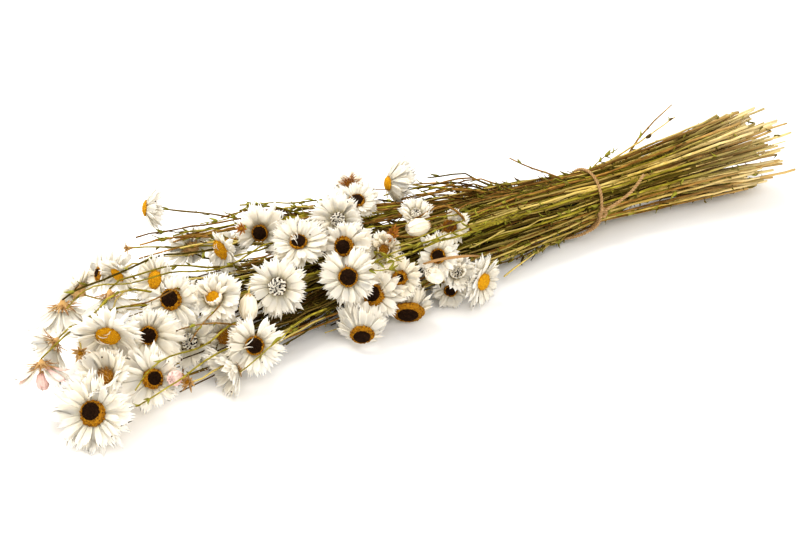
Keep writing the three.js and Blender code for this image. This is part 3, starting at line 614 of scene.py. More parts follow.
# Strips: their width at each row from root to tip, and how deep the tip is cut at each column
BROAD_WIDTHS = (0.42, 0.76, 0.96, 1.0, 0.76)
BROAD_TEETH = (0.22, 0.06, 0.24, 0.0, 0.25, 0.08, 0.26)
CUT_TEETH = (0.28, 0.12, 0.2, 0.02, 0.26, 0.0, 0.2)
NARROW_WIDTHS = (0.5, 0.85, 1.0, 0.82, 0.2)
NARROW_TEETH = (0.08, 0.0, 0.1)
POINTED_WIDTHS = (0.7, 1.0, 0.92, 0.6, 0.08)
POINTED_TEETH = (0.02, 0.0, 0.02)
THREAD_WIDTHS = (0.8, 1.0, 0.9, 0.7, 0.3)
LEAF_WIDTHS = (0.6, 1.0, 0.9, 0.6, 0.1)
DRY_LEAF_WIDTHS = (0.5, 0.9, 1.0, 0.95, 0.8, 0.5)
UNCUT = (0.0, 0.0)

broad_petal = strip("broad_petal", 6, BROAD_WIDTHS, BROAD_TEETH, PAPER)
cut_petal = strip("cut_petal", 6, BROAD_WIDTHS, CUT_TEETH, PAPER)
narrow_petal = strip("narrow_petal", 2, NARROW_WIDTHS, NARROW_TEETH, PAPER)
thread_petal = strip("thread_petal", 1, THREAD_WIDTHS, UNCUT, PAPER)
pink_petal = strip("pink_petal", 6, BROAD_WIDTHS, BROAD_TEETH, PINK)
bud_petal = strip("bud_petal", 6, BROAD_WIDTHS, BROAD_TEETH, BUD)
bract = strip("bract", 2, POINTED_WIDTHS, POINTED_TEETH, BRACT)
rust_bract = strip("rust_bract", 2, POINTED_WIDTHS, POINTED_TEETH, RUST)
leaf = strip("leaf", 1, LEAF_WIDTHS, UNCUT, LEAF)
dry_leaf = strip("dry_leaf", 2, DRY_LEAF_WIDTHS, POINTED_TEETH, BRACT)
dark_dome = dome("dark_dome", DARK)
ochre_dome = dome("ochre_dome", OCHRE)
yellow_dome = dome("yellow_dome", YELLOW)
dark_floret = floret("dark_floret", DARK)
ochre_bead = bead("ochre_bead", OCHRE)
yellow_bead = bead("yellow_bead", YELLOW)
cup = calyx_cup("calyx_cup", BRACT)
templates = [
    broad_petal, cut_petal, narrow_petal, thread_petal, pink_petal, bud_petal, bract, rust_bract, leaf,
    dry_leaf, dark_dome, ochre_dome, yellow_dome, dark_floret, ochre_bead, yellow_bead, cup,
]
UNIT = {template.name: points_of(template) for template in templates}


def bent(template, base, forward, upward, length, width, slope, curl,
         thick=0.12, trough=0.0, ripple=0.0, sway=0.0, phase=0.0):
    """A strip's points: it leaves its base at a slope over its forward way and curls on to its tip."""
    u, v, w = UNIT[template.name].T
    turn = curl if abs(curl) > 0.001 else 0.001
    lean = slope + turn * v
    onward = length * (np.sin(lean) - math.sin(slope)) / turn
    rise = length * (math.cos(slope) - np.cos(lean)) / turn
    off = w * thick + trough * width * (2 * u) ** 2 + ripple * np.sin(5 * u + 4 * v + phase) * v
    side = u * width + sway * length * v * v
    across = np.cross(forward, upward)
    return (
        base
        + np.outer(onward - np.sin(lean) * off, forward)
        + np.outer(rise + np.cos(lean) * off, upward)
        + np.outer(side, across)
    )


# Heads


def frame_of(flower):
    """A head's centre, the way it faces, and two ways across it."""
    turn, tilt = (math.radians(angle) for angle in flower["facing"])
    axis = np.array([math.cos(turn) * math.cos(tilt), math.sin(turn) * math.cos(tilt), math.sin(tilt)])
    side = np.array([-math.sin(turn), math.cos(turn), 0.0])
    return np.array(flower["at"], float), axis, side, np.cross(axis, side)


def sizes_of(flower):
    """The radius of a head's disc, the radius where its petals start, and their length."""
    disc_radius = flower["width"] * DISC_SHARE
    root = disc_radius + DISC_ROOM
    return disc_radius, root, flower["width"] / 2 - root


def spoke(axes, angle):
    """The way out from a head's middle at an angle round it."""
    return axes[2] * math.cos(angle) + axes[3] * math.sin(angle)


def reach_of(flower):
    """The ball that holds a head's petals, for telling which heads press on each other."""
    centre, axis, _, _ = frame_of(flower)
    if flower["kind"] == "bud":
        return centre + axis * flower["width"] / 3, flower["width"] * BUD_REACH
    _, root, petal = sizes_of(flower)
    rise = math.radians(KINDS[flower["kind"]][0])
    depth = petal * math.sin(rise)
    return centre + axis * depth / 2, math.hypot(root + petal * math.cos(rise), depth / 2)


def neighbour_planes(flower):
    """The planes where a head's petals stop because a neighbour's begin."""
    middle, radius = reach_of(flower)
    planes = []
    for other in HEADS:
        together = flower.get("cluster") and flower.get("cluster") == other.get("cluster")
        if other is flower or together:
            continue
        their_middle, their_radius = reach_of(other)
        distance = np.linalg.norm(their_middle - middle)
        if distance >= radius + their_radius:
            continue
        normal = (their_middle - middle) / distance
        share = distance * radius / (radius + their_radius)
        planes.append((normal, middle @ normal + share, radius - share))
    return planes


def pressed(points, planes):
    """Moves a petal's points back from the planes and up from the surface, keeping their order."""
    moved = points.copy()
    for normal, at, beyond in planes:
        over = moved @ normal - at
        share = np.minimum(1, (over + SQUEEZE_ZONE) / (beyond + SQUEEZE_ZONE))
        target = -SQUEEZE_ZONE + share * (SQUEEZE_ZONE - PRESSED_GAP)
        moved += np.outer(np.where(over > -SQUEEZE_ZONE, target - over, 0), normal)
    for _ in range(CLEAR_PASSES):
        for normal, at, _ in planes:
            over = moved @ normal - at + PRESSED_GAP
            moved -= np.outer(np.maximum(over, 0), normal)
    low = moved[:, 2] < 1
    moved[low, 2] = np.exp(moved[low, 2] - 1)
    return moved


def on_frame(template, axes, at, radius, height):
    """A round template's points on a head, its own frame scaled and set at a point over the disc."""
    centre, axis, side, up = axes
    x, y, z = (UNIT[template.name] * (radius, radius, height) + at).T
    return centre + np.outer(x, side) + np.outer(y, up) + np.outer(z, axis)


def rayed(axes, template, angle, out, rise, length, width, slope, curl, **more):
    """A strip that leaves a head's middle at an angle, with its root so far out and so far up."""
    forward = spoke(axes, angle)
    base = axes[0] + forward * out + axes[1] * rise
    return bent(template, base, forward, axes[1], length, width, slope, curl, **more)


def petal_layers(flower, draw):
    """The petals of an open head: three layers that overlap, each with its own rise."""
    axes = frame_of(flower)
    _, root, petal = sizes_of(flower)
    rise, curl = (math.radians(angle) for angle in KINDS[flower["kind"]])
    count = round(PETAL_CROWD * flower["width"] / PETAL_PITCH)
    planes = neighbour_planes(flower)
    longer = flower.get("longer", (0, 0))
    gap_at, gap_half = (math.radians(angle) for angle in flower.get("gap", (0, 0)))
    placed = []
    for layer, (lifted, share, reach) in enumerate(PETAL_LAYERS):
        number = round(count * share)
        for i in range(number):
            angle = 2 * math.pi / number * (i + 0.5 * layer + 0.5 * (next(draw) - 0.5))
            from_gap = abs((angle - gap_at + math.pi) % (2 * math.pi) - math.pi)
            if from_gap < gap_half:
                continue
            slope = rise + math.radians(lifted + RISE_PLAY * (next(draw) - 0.5))
            length = petal * reach * flower.get("spread", 1) * (LONGEST - LENGTH_PLAY * next(draw))
            length *= 1 + longer[0] * math.cos(angle) + longer[1] * math.sin(angle)
            around = 2 * math.pi * (root + 0.75 * length)
            width = around / count * (NARROWEST + WIDTH_PLAY * next(draw))
            shape = broad_petal if next(draw) < 0.5 else cut_petal
            if next(draw) < NARROW_SHARE:
                shape = narrow_petal
                width *= NARROW_WIDTH
            elif flower.get("tint") == "pink" and next(draw) < PINK_SHARE:
                shape = pink_petal
            bend = curl + math.radians(CURL_PLAY * (next(draw) - 0.5))
            rooted = 0.8
            if layer == 2 and flower.get("upright"):
                stands, rooted, shorter = UPRIGHT_NEAR if math.sin(angle) < 0.2 else UPRIGHT_FAR
                slope = math.radians(stands - 20 * next(draw))
                bend = math.radians(-20)
                shape = narrow_petal
                length *= shorter
                width *= 0.8
            points = rayed(
                axes, shape, angle, root * rooted, LAYER_STEP * layer - 0.2, length + root * 0.2, width,
                slope, bend, trough=0.10 * (next(draw) - 0.5), ripple=0.25, sway=0.2 * (next(draw) - 0.5),
                phase=6 * next(draw),
            )
            laid = pressed(points, planes)
            placed.append((shape, laid, flower.get("aged", 0) + 0.25 * next(draw) ** 2))
            if next(draw) < SPECK_SHARE:
                at = laid[int(len(laid) * next(draw))] + axes[1] * 0.2
                placed.append((dark_floret, at + UNIT["dark_floret"] * (0.35 + 0.3 * next(draw)), 0.4))
    return placed


def bud_petals(flower, draw):
    """A closed bud: two layers of petals wrapped into an oval, on a ring of bracts."""
    axes = frame_of(flower)
    centre, axis = axes[:2]
    width = flower["width"]
    slope, curl = (math.radians(angle) for angle in KINDS["bud"])
    planes = neighbour_planes(flower)
    shape = pink_petal if flower.get("tint") == "pink" else bud_petal
    placed = []
    for layer, reach in enumerate(BUD_LAYERS):
        for i in range(6):
            forward = spoke(axes, math.pi / 3 * (i + 0.5 * layer) + 0.2 * next(draw))
            base = centre + forward * (0.085 * width) - axis * (0.06 * width)
            points = bent(
                shape, base, forward * 0.72, axis * 1.4, width * reach * (1 - 0.04 * next(draw)), width * 0.6,
                slope, curl, thick=0.2, trough=0.14, ripple=0.1, phase=6 * next(draw),
            )
            placed.append((shape, pressed(points, planes), 0.15 * next(draw)))
    for i in range(6):
        points = rayed(axes, bract, math.pi / 3 * i, 0, -0.1 * width, width * 0.45, width * 0.34,
                       math.radians(20), math.radians(70), thick=0.2, trough=0.1)
        placed.append((bract, pressed(points, planes), 0.4 * next(draw)))
    return placed


def star_spikes(flower, draw):
    """A small star of bracts in two layers round a tuft of beads."""
    axes = frame_of(flower)
    width = flower["width"]
    spike = rust_bract if flower.get("tint") == "rust" else bract
    placed = [(cup, on_frame(cup, axes, (0, 0, -0.3), width * 0.16, CALYX_DEPTH * 0.8), 0.3)]
    for layer, (slope, reach) in enumerate(STAR_LAYERS):
        for i in range(8):
            angle = math.pi / 4 * (i + 0.5 * layer) + 0.3 * next(draw)
            points = rayed(
                axes, spike, angle, 0.6, -0.4, width * reach * (0.8 + 0.3 * next(draw)), width * 0.14,
                math.radians(slope + 20 * (next(draw) - 0.5)), math.radians(25), thick=0.2, trough=0.12,
                sway=0.3 * (next(draw) - 0.5),
            )
            placed.append((spike, pressed(points, []), 0.5 * next(draw)))
    for k in range(STAR_BEADS):
        radius = width * 0.12 * math.sqrt(k / STAR_BEADS)
        angle = GOLDEN_TURN * k
        at = (radius * math.cos(angle), radius * math.sin(angle), 0.7)
        placed.append((ochre_bead, on_frame(ochre_bead, axes, at, 0.6, 0.8), 0.5 * next(draw)))
    return placed


def bracts_under(flower, draw):
    """The calyx: a cup with three rows of bracts, which spread where a head hangs."""
    axes = frame_of(flower)
    _, root, _ = sizes_of(flower)
    hanging = flower["kind"] == "hanging"
    rows, wide, old = HANGING_CALYX if hanging else CALYX
    planes = neighbour_planes(flower)
    share = 0.6 if flower.get("centre") == "closed" or hanging else 0.85
    placed = [(cup, on_frame(cup, axes, (0, 0, -0.7), root * share, CALYX_DEPTH - 0.8), 0.2)]
    for layer, (depth, radius, slope, reach) in enumerate(rows):
        for i in range(CALYX_BRACTS):
            angle = 2 * math.pi / CALYX_BRACTS * (i + 0.5 * layer + 0.2 * next(draw))
            points = rayed(
                axes, bract, angle, min(radius, root * 0.8), -(depth + 0.2),
                reach * root / 6 * (0.75 + 0.5 * next(draw)), wide * root / 6,
                math.radians(slope + 16 * (next(draw) - 0.5)), math.radians(10 + 30 * (next(draw) - 0.5)),
                thick=0.15, trough=0.12, sway=0.4 * (next(draw) - 0.5),
            )
            placed.append((bract, pressed(points, planes), old + 0.6 * next(draw)))
    return placed


def floret_spiral(template, axes, lean, radius, count, low, high, size, draw):
    """Florets in a spiral over a cushion: its rim is low and its middle high."""
    placed = []
    for k in range(count):
        share = 0.97 * math.sqrt((k + 0.5) / count)
        angle = GOLDEN_TURN * k
        rise = low + (high - low) * math.sqrt(1 - share**2) - 0.15
        at = (lean[0] + radius * share * math.cos(angle), lean[1] + radius * share * math.sin(angle), rise)
        grown = size * (0.8 + 0.4 * next(draw))
        placed.append((template, on_frame(template, axes, at, grown, grown * 1.1), 0.6 * next(draw) ** 2))
    return placed


def floret_ring(template, axes, lean, radius, rise, size, draw):
    """A ring of florets standing round a disc, close together and uneven."""
    number = round(2 * math.pi * radius / (size * 1.5))
    placed = []
    for k in range(number):
        angle = 2 * math.pi * (k + 0.3 * next(draw)) / number
        out = radius + 0.7 * (next(draw) - 0.5)
        at = (lean[0] + out * math.cos(angle), lean[1] + out * math.sin(angle), rise)
        grown = size * (0.6 + 0.8 * next(draw))
        placed.append((template, on_frame(template, axes, at, grown, grown * 1.5), next(draw) ** 1.5))
    return placed


def disc_florets(flower, style, draw):
    """A disc: a cushion of florets, for a dark one on a wider ochre cushion whose rim shows as a ring."""
    axes = frame_of(flower)
    radius = sizes_of(flower)[0] * flower.get("disc_share", DISC_IN_PETALS)
    if style == "yellow":
        high = DISC_HEIGHT * 0.9
        size = radius * 0.095
        even = (0, 0)
        placed = [(yellow_dome, on_frame(yellow_dome, axes, (*even, SEAT), radius, high), 0.3)]
        top = SEAT + high
        placed += floret_spiral(yellow_bead, axes, even, radius, YELLOW_FLORETS, SEAT, top, size, draw)
        return placed + floret_ring(yellow_bead, axes, even, radius * 0.99, SEAT + 0.3, radius * 0.09, draw)
    ring = flower.get("ring", 0.07)
    lean = flower.get("lean", (0, 0))
    inner = radius * (1 - ring)
    size = inner * 0.09
    top = SEAT + DISC_HEIGHT * 0.55
    crown = top + DISC_HEIGHT * 0.3
    placed = [
        (ochre_dome, on_frame(ochre_dome, axes, (0, 0, SEAT), radius, DISC_HEIGHT * 0.75), 0.3),
        (dark_dome, on_frame(dark_dome, axes, (*lean, top - 0.3), inner, DISC_HEIGHT * 0.6), 0),
    ]
    placed += floret_spiral(dark_floret, axes, lean, inner, DARK_FLORETS, top - 0.3, crown, size, draw)
    placed += floret_ring(ochre_bead, axes, lean, inner * 1.02, top - 0.1, 0.42, draw)
    rows = 1 + round(ring / 0.12)
    for row in range(rows):
        share = row / rows
        middle = (lean[0] * share, lean[1] * share)
        rise = SEAT + 0.3 + (top - SEAT - 0.5) * share
        placed += floret_ring(ochre_bead, axes, middle, radius + (inner - radius) * share, rise, 0.5, draw)
    worn = flower.get("worn", 0)
    return [(template, points, max(tone, worn)) for template, points, tone in placed]


def closed_centre(flower, draw):
    """Small petals that still fold over the middle of a head, with dark gaps between them."""
    axes = frame_of(flower)
    radius, _, _ = sizes_of(flower)
    placed = [(dark_dome, on_frame(dark_dome, axes, (0, 0, 0.1), radius * 0.8, 1.2), 0)]
    for k in range(FOLDED_PETALS):
        out = radius * (0.12 + 0.78 * math.sqrt(k / FOLDED_PETALS))
        points = rayed(
            axes, narrow_petal, GOLDEN_TURN * k, out, 0.2, radius * (0.7 + 0.35 * next(draw)), radius * 0.24,
            math.radians(62), math.radians(105), thick=0.15, trough=0.2, sway=0.6 * (next(draw) - 0.5),
        )
        placed.append((narrow_petal, points, 0.2 * next(draw)))
    return placed


def shreds_on(flower, draw, count):
    """Curled shreds of petal that lie over the edge of a disc."""
    axes = frame_of(flower)
    centre, axis = axes[:2]
    radius, _, _ = sizes_of(flower)
    placed = []
    for _ in range(count):
        out = spoke(axes, math.radians(60 + 150 * next(draw)))
        along = unit(np.cross(axis, out) * (next(draw) - 0.5) - out * 0.6)
        base = centre + out * radius * (0.75 + 0.3 * next(draw)) + axis * (DISC_HEIGHT * 0.9)
        points = bent(
            thread_petal, base, along, axis, radius * (0.7 + 0.5 * next(draw)), radius * 0.13,
            math.radians(50), math.radians(-110), thick=0.15, trough=0.25, sway=1.6 * (next(draw) - 0.5),
        )
        placed.append((thread_petal, points, 0.2 * next(draw)))
    return placed


def fuzzy_centre(flower, draw):
    """A tuft of tan bristles, or of longer rust ones, over ochre."""
    axes = frame_of(flower)
    radius, _, _ = sizes_of(flower)
    bristle, reach = (rust_bract, 3.0) if flower.get("tint") == "rust" else (bract, 1)
    placed = [(ochre_dome, on_frame(ochre_dome, axes, (0, 0, 0.1), radius * 0.85, 1.4), 0.4)]
    for k in range(BRISTLES):
        out = radius * 0.85 * math.sqrt((k + 0.5) / BRISTLES)
        points = rayed(
            axes, bristle, GOLDEN_TURN * k, out, 0.6, radius * reach * (0.45 + 0.35 * next(draw)),
            radius * (0.14 + 0.005 * reach), math.radians(90 - 55 * reach / 3 * next(draw)),
            math.radians(30 * reach * (next(draw) - 0.4)), thick=0.15, sway=0.6 * reach * (next(draw) - 0.5),
        )
        placed.append((bristle, points, 0.5 * next(draw)))
    return placed


def dressed(flower):
    """The copies that a head is made of, and apart from them those of its disc."""
    draw = draws(int(flower["name"]) * HEAD_SEED)
    if flower["kind"] == "bud":
        return bud_petals(flower, draw), []
    if flower["kind"] == "star":
        return star_spikes(flower, draw), []
    placed = petal_layers(flower, draw) + bracts_under(flower, draw)
    florets = []
    style = flower.get("disc") or flower.get("centre")
    if style in ("dark", "yellow"):
        florets = disc_florets(flower, style, draw)
    elif style == "closed":
        placed += closed_centre(flower, draw)
    elif style == "fuzzy":
        placed += fuzzy_centre(flower, draw)
    placed += shreds_on(flower, draw, flower.get("curls", 0))
    if flower.get("heart"):
        centre, axis, _, _ = frame_of(flower)
        placed += bud_petals(dict(flower, at=tuple(centre + axis * 3), kind="bud", width=9), draw)
    return placed, florets


clusters = {}
for flower in HEADS:
    if flower["kind"] != "star":
        clusters.setdefault(flower.get("cluster", flower["name"]), []).append(flower)

for members in clusters.values():
    names = "_".join(flower["name"] for flower in members)
    whole = []
    for flower in members:
        petals, florets = dressed(flower)
        whole += petals
        if flower.get("disc"):
            slot = f"{flower['disc']}_disc"
            kept(joined(f"florets_{flower['name']}", florets), slot, f"disc_{flower['name']}")
        else:
            whole += florets
    kept(joined(f"petals_{names}", whole), "petals", f"daisy_{names}")

stars = [copy for flower in HEADS if flower["kind"] == "star" for copy in dressed(flower)[0]]
kept(joined("star_buds", stars), "stems")


# Stems


def ring_point(x, centre, radius, angle):
    """A point on a ring that stands across the bunch at x."""
    return [x, centre[0] + radius * math.cos(angle), centre[1] + radius * math.sin(angle)]


def is_first(flower):
    """A cluster's first head has a stem from the bundle, and its others branch off that."""
    return "cluster" not in flower or clusters[flower["cluster"]][0] is flower


def head_end(flower):
    """Where a stem meets its head, and the point behind it that the stem bends towards."""
    centre, axis, _, _ = frame_of(flower)
    below = flower["width"] * 0.1 if flower["kind"] == "bud" else CALYX_DEPTH
    gap = -3 if flower["kind"] == "star" else 0
    tip = centre - axis * (below + gap)
    bend = HANGING_BEND if axis[2] < HANGING_TILT else NECK_BEND
    return dict(tip=tip, back=tip - axis * bend, leaves=flower.get("leaves", 0), name=flower["name"])


def stem_ends():
    """What the stems carry and where they pass the tie, which they do in the angular order of their tips."""
    ends = [head_end(flower) for flower in HEADS if is_first(flower)]
    for tip, back, leaves in SPRIGS:
        ends.append(dict(tip=np.array(tip, float), back=np.array(back, float), leaves=leaves, name=""))

    def turn_of(end):
        angle = math.atan2(end["tip"][2] - SPREAD_CENTRE[1], end["tip"][1] - SPREAD_CENTRE[0])
        return angle + 2 * math.pi if angle < -math.pi / 2 else angle

    ends.sort(key=turn_of)
    free = 2 * (math.pi - FLOOR_SECTOR)
    for i, end in enumerate(ends):
        end["outer"] = i % 2 == 0
        end["angle"] = -math.pi / 2 + FLOOR_SECTOR + free * i / (len(ends) - 1)
    return ends


# The heads and buds that stems keep clear of: name, centre, axis, radius and depth behind
CLEAR_OF = []
for flower in HEADS:
    if flower["kind"] != "star":
        centre, axis, _, _ = frame_of(flower)
        round_bud = flower["kind"] == "bud"
        radius = flower["width"] * (BUD_REACH if round_bud else 0.5)
        behind = -BUD_BEHIND * radius if round_bud else -PASSING_DEPTH
        CLEAR_OF.append((flower["name"], centre, axis, radius, behind))


def bent_clear(points, name):
    """Pushes the inner points of a way behind the heads that it would cross, or round them."""
    points = [np.array(point, float) for point in points]
    for turn in range(CLEAR_PASSES):
        for i in range(2, len(points) - 2):
            course = unit(points[i + 1] - points[i - 1])
            for other, centre, axis, radius, behind in CLEAR_OF:
                radial = points[i] - centre
                if other == name or max(abs(radial[0]), abs(radial[1])) > PASSING_WINDOW:
                    continue
                height = radial @ axis
                radial = radial - axis * height
                off = np.linalg.norm(radial) / radius
                if off > PASSING_REACH or height < behind or height > PASSING_HEIGHT:
                    continue
                share = min(1, (PASSING_REACH - off) / (PASSING_REACH - 1))
                if abs(course @ axis) < ALONG_AXIS:
                    points[i] = points[i] + axis * ((behind - height) * share)
                elif off < 1:
                    points[i] = points[i] + unit(radial) * ((1 - off) * radius)
            points[i][2] = max(points[i][2], LOWEST_STEM / 2)
        if turn < CLEAR_PASSES - 1:
            for i in range(2, len(points) - 3):
                points[i] = (points[i] + (points[i - 1] + points[i + 1]) / 2) / 2
    return points


def bezier(start, away, back, tip, steps):
    """Points along a smooth curve that leaves its start towards one point and comes in from another."""
    shares = np.linspace(0, 1, steps + 1)[:, None]
    rest = 1 - shares
    return rest**3 * start + 3 * rest**2 * shares * away + 3 * rest * shares**2 * back + shares**3 * tip


def way_out(end):
    """The way from the bundle to a stem's tip, bent clear of the heads that it passes."""
    if end["outer"]:
        start = np.array(ring_point(TIE_X, TIE_CENTRE, OUTER_RING, end["angle"]))
    else:
        start = np.array(ring_point(INNER_START_X, INNER_CENTRE, INNER_RING, end["angle"]))
    run = start[0] - end["tip"][0]
    out = start[1:] - TIE_CENTRE
    away = start + np.array([-run * FAN_REACH, out[0] * FAN_WIDTH, out[1] * FAN_HEIGHT])
    away[2] = max(away[2], LOWEST_STEM)
    back = end["back"].copy()
    back[2] = max(back[2], LOWEST_STEM)
    return bent_clear(bezier(start, away, back, end["tip"], WAY_STEPS), end["name"])


def eased(points, passes=2):
    """Rounds a way's corners, its two ends kept."""
    line = np.array(points, float)
    for _ in range(passes):
        line[1:-1] = (line[:-2] + 2 * line[1:-1] + line[2:]) / 4
    return line


def resampled(points, step):
    """The same way with points at even steps."""
    points = np.array(points, float)
    runs = np.concatenate([[0], np.cumsum(np.linalg.norm(np.diff(points, axis=0), axis=1))])
    places = np.linspace(0, runs[-1], max(2, round(runs[-1] / step) + 1))
    return np.stack([np.interp(places, runs, points[:, k]) for k in range(3)], 1)


def tubes(name, ways, finish, sides=1):
    """One mesh of round stems: each way has its points, the radius at each and its tone."""
    curve = bpy.data.curves.new(name, "CURVE")
    curve.dimensions = "3D"
    curve.bevel_depth = MM
    curve.bevel_resolution = sides
    for points, radii, _ in ways:
        spline = curve.splines.new("POLY")
        spline.points.add(len(points) - 1)
        places = np.column_stack([points * MM, np.ones(len(points))])
        spline.points.foreach_set("co", places.ravel())
        spline.points.foreach_set("radius", np.asarray(radii, float))
        spline.use_smooth = True
    piece = bpy.data.objects.new(name, curve)
    bpy.context.scene.collection.objects.link(piece)
    only(piece)
    bpy.ops.object.convert(target="MESH")
    piece = bpy.context.object
    piece.data.materials.clear()
    piece.data.materials.append(finish)
    around = len(piece.data.vertices) // sum(len(points) for points, _, _ in ways)
    tones = np.concatenate([np.full(len(points) * around, tone, np.float32) for points, _, tone in ways])
    piece.data.attributes.new("tone", "FLOAT", "POINT").data.foreach_set("value", tones)
    bpy.ops.object.mode_set(mode="EDIT")
    bpy.ops.mesh.select_all(action="SELECT")
    bpy.ops.mesh.fill_holes(sides=0)
    bpy.ops.object.mode_set(mode="OBJECT")
    return piece


draw = draws(STEM_SEED)
ways = {}
stem_ways = {"straw": [], "olive": [], "brown": []}
leafy_ways = []


def rough_way(points, wobble=0.9, step=9):
    """A way with the small bends of a dried stem."""
    line = resampled(points, step)
    jolt = np.array([[next(draw) - 0.5 for _ in range(3)] for _ in line]) * wobble
    jolt[0] = jolt[-1] = 0
    line = line + jolt
    line[:, 2] = np.maximum(line[:, 2], STEM_CLEARANCE)
    return line


def add_stem(points, thick, thin, wobble=0.7, shaded=0.0, step=9, finish=None):
    """Adds a stem in one of the three finishes, darkened with painted shade the more it is shaded."""
    line = rough_way(points, wobble, step)
    radii = np.linspace(thick, thin, len(line)) * [0.85 + 0.3 * next(draw) for _ in line]
    # Shaded stems lean to the darker finishes too, as painted shade
    kind = next(draw) + 0.3 * shaded
    tone = OLD_STEM_TONE if next(draw) < OLD_STEM_SHARE else 0.55 * next(draw) ** 2
    finish = finish or ("straw" if kind < STRAW_BELOW else "olive" if kind < OLIVE_BELOW else "brown")
    stem_ways[finish].append((line, radii, shaded + (1 - shaded) * tone))
    return line


def add_twiglets(line, count):
    """Short thin side shoots, which leave a stem at a slant."""
    for _ in range(count):
        i = int((len(line) - 1) * next(draw))
        tangent = unit(line[i + 1] - line[i])
        outward = unit(np.array([next(draw) - 0.5, next(draw) - 0.5, next(draw) - 0.3]))
        reach = 4 + 9 * next(draw)
        middle = line[i] + tangent * reach * 0.5 + outward * reach * 0.2
        end = middle + tangent * reach * 0.4 + outward * reach * 0.35
        shoot = np.array([line[i], middle, end])
        shoot[:, 2] = np.maximum(shoot[:, 2], SHOOT_CLEARANCE)
        stem_ways["brown" if next(draw) < 0.4 else "olive"].append((shoot, [0.42, 0.36, 0.24], next(draw)))


# A stem for each head and sprig, with thinner ones beside it that end on the way
for end in stem_ends():
    way = way_out(end)
    ways[end["name"]] = way
    cut_x = CUT_END_X + CUT_END_SPREAD * (next(draw) - 0.5)
    ring = OUTER_RING * (0.92 + 0.16 * next(draw) if end["outer"] else 0.9 * math.sqrt(next(draw)))
    cut_end = ring_point(cut_x, CUT_END_CENTRE, ring * CUT_END_FLARE, end["angle"] + 0.1 * (next(draw) - 0.5))
    if end["outer"]:
        line = add_stem([cut_end, *eased(way)], STEM_RADIUS, NECK_RADIUS)
    else:
        start = ring_point(INNER_END_X, INNER_END_CENTRE, ring * 0.5, end["angle"])
        add_stem([cut_end, start], STEM_RADIUS, STEM_RADIUS)
        line = add_stem(eased(way), NECK_RADIUS * 1.3, NECK_RADIUS)
    leafy_ways.append((line, 12 + 6 * end["leaves"] if end["name"] else SPRIG_LEAVES, 0))
    add_twiglets(line, 3)
    for _ in range(COMPANIONS):
        stop = round(len(way) * (0.4 + 0.35 * next(draw)))
        aside = np.array([0, 7 * (next(draw) - 0.5), 5 * (next(draw) - 0.7)])
        beside = eased(way)[:stop] + np.outer(np.linspace(0.3, 1.3, stop), aside)
        # The thin stems beside it, and their leaves, get some painted shade
        beside = add_stem(beside, NECK_RADIUS, NECK_RADIUS * 0.6, wobble=1.8, shaded=0.3)
        leafy_ways.append((beside, 12, 0.3))
        add_twiglets(beside, 3)

# Branches to the other heads of a cluster
for flower in HEADS:
    if not is_first(flower):
        parent = resampled(ways[clusters[flower["cluster"]][0]["name"]], 1)
        place = round(BRANCH_PLACE * (len(parent) - 1))
        end = head_end(flower)
        start = parent[place]
        away = start + unit(parent[place + 1] - start) * np.linalg.norm(end["tip"] - start) * BRANCH_REACH
        way = bent_clear(bezier(start, away, end["back"], end["tip"], WAY_STEPS // 2), end["name"])
        add_stem(eased(way), NECK_RADIUS, NECK_RADIUS)

# Leafy twigs that stand off the bundle
for leaves, *twig in TWIGS:
    line = rough_way(bezier(*np.array(twig, float), 12))
    stem_ways["brown"].append((line, np.linspace(0.9, 0.45, len(line)), 0.1))
    leafy_ways.append((line, leaves, 0))

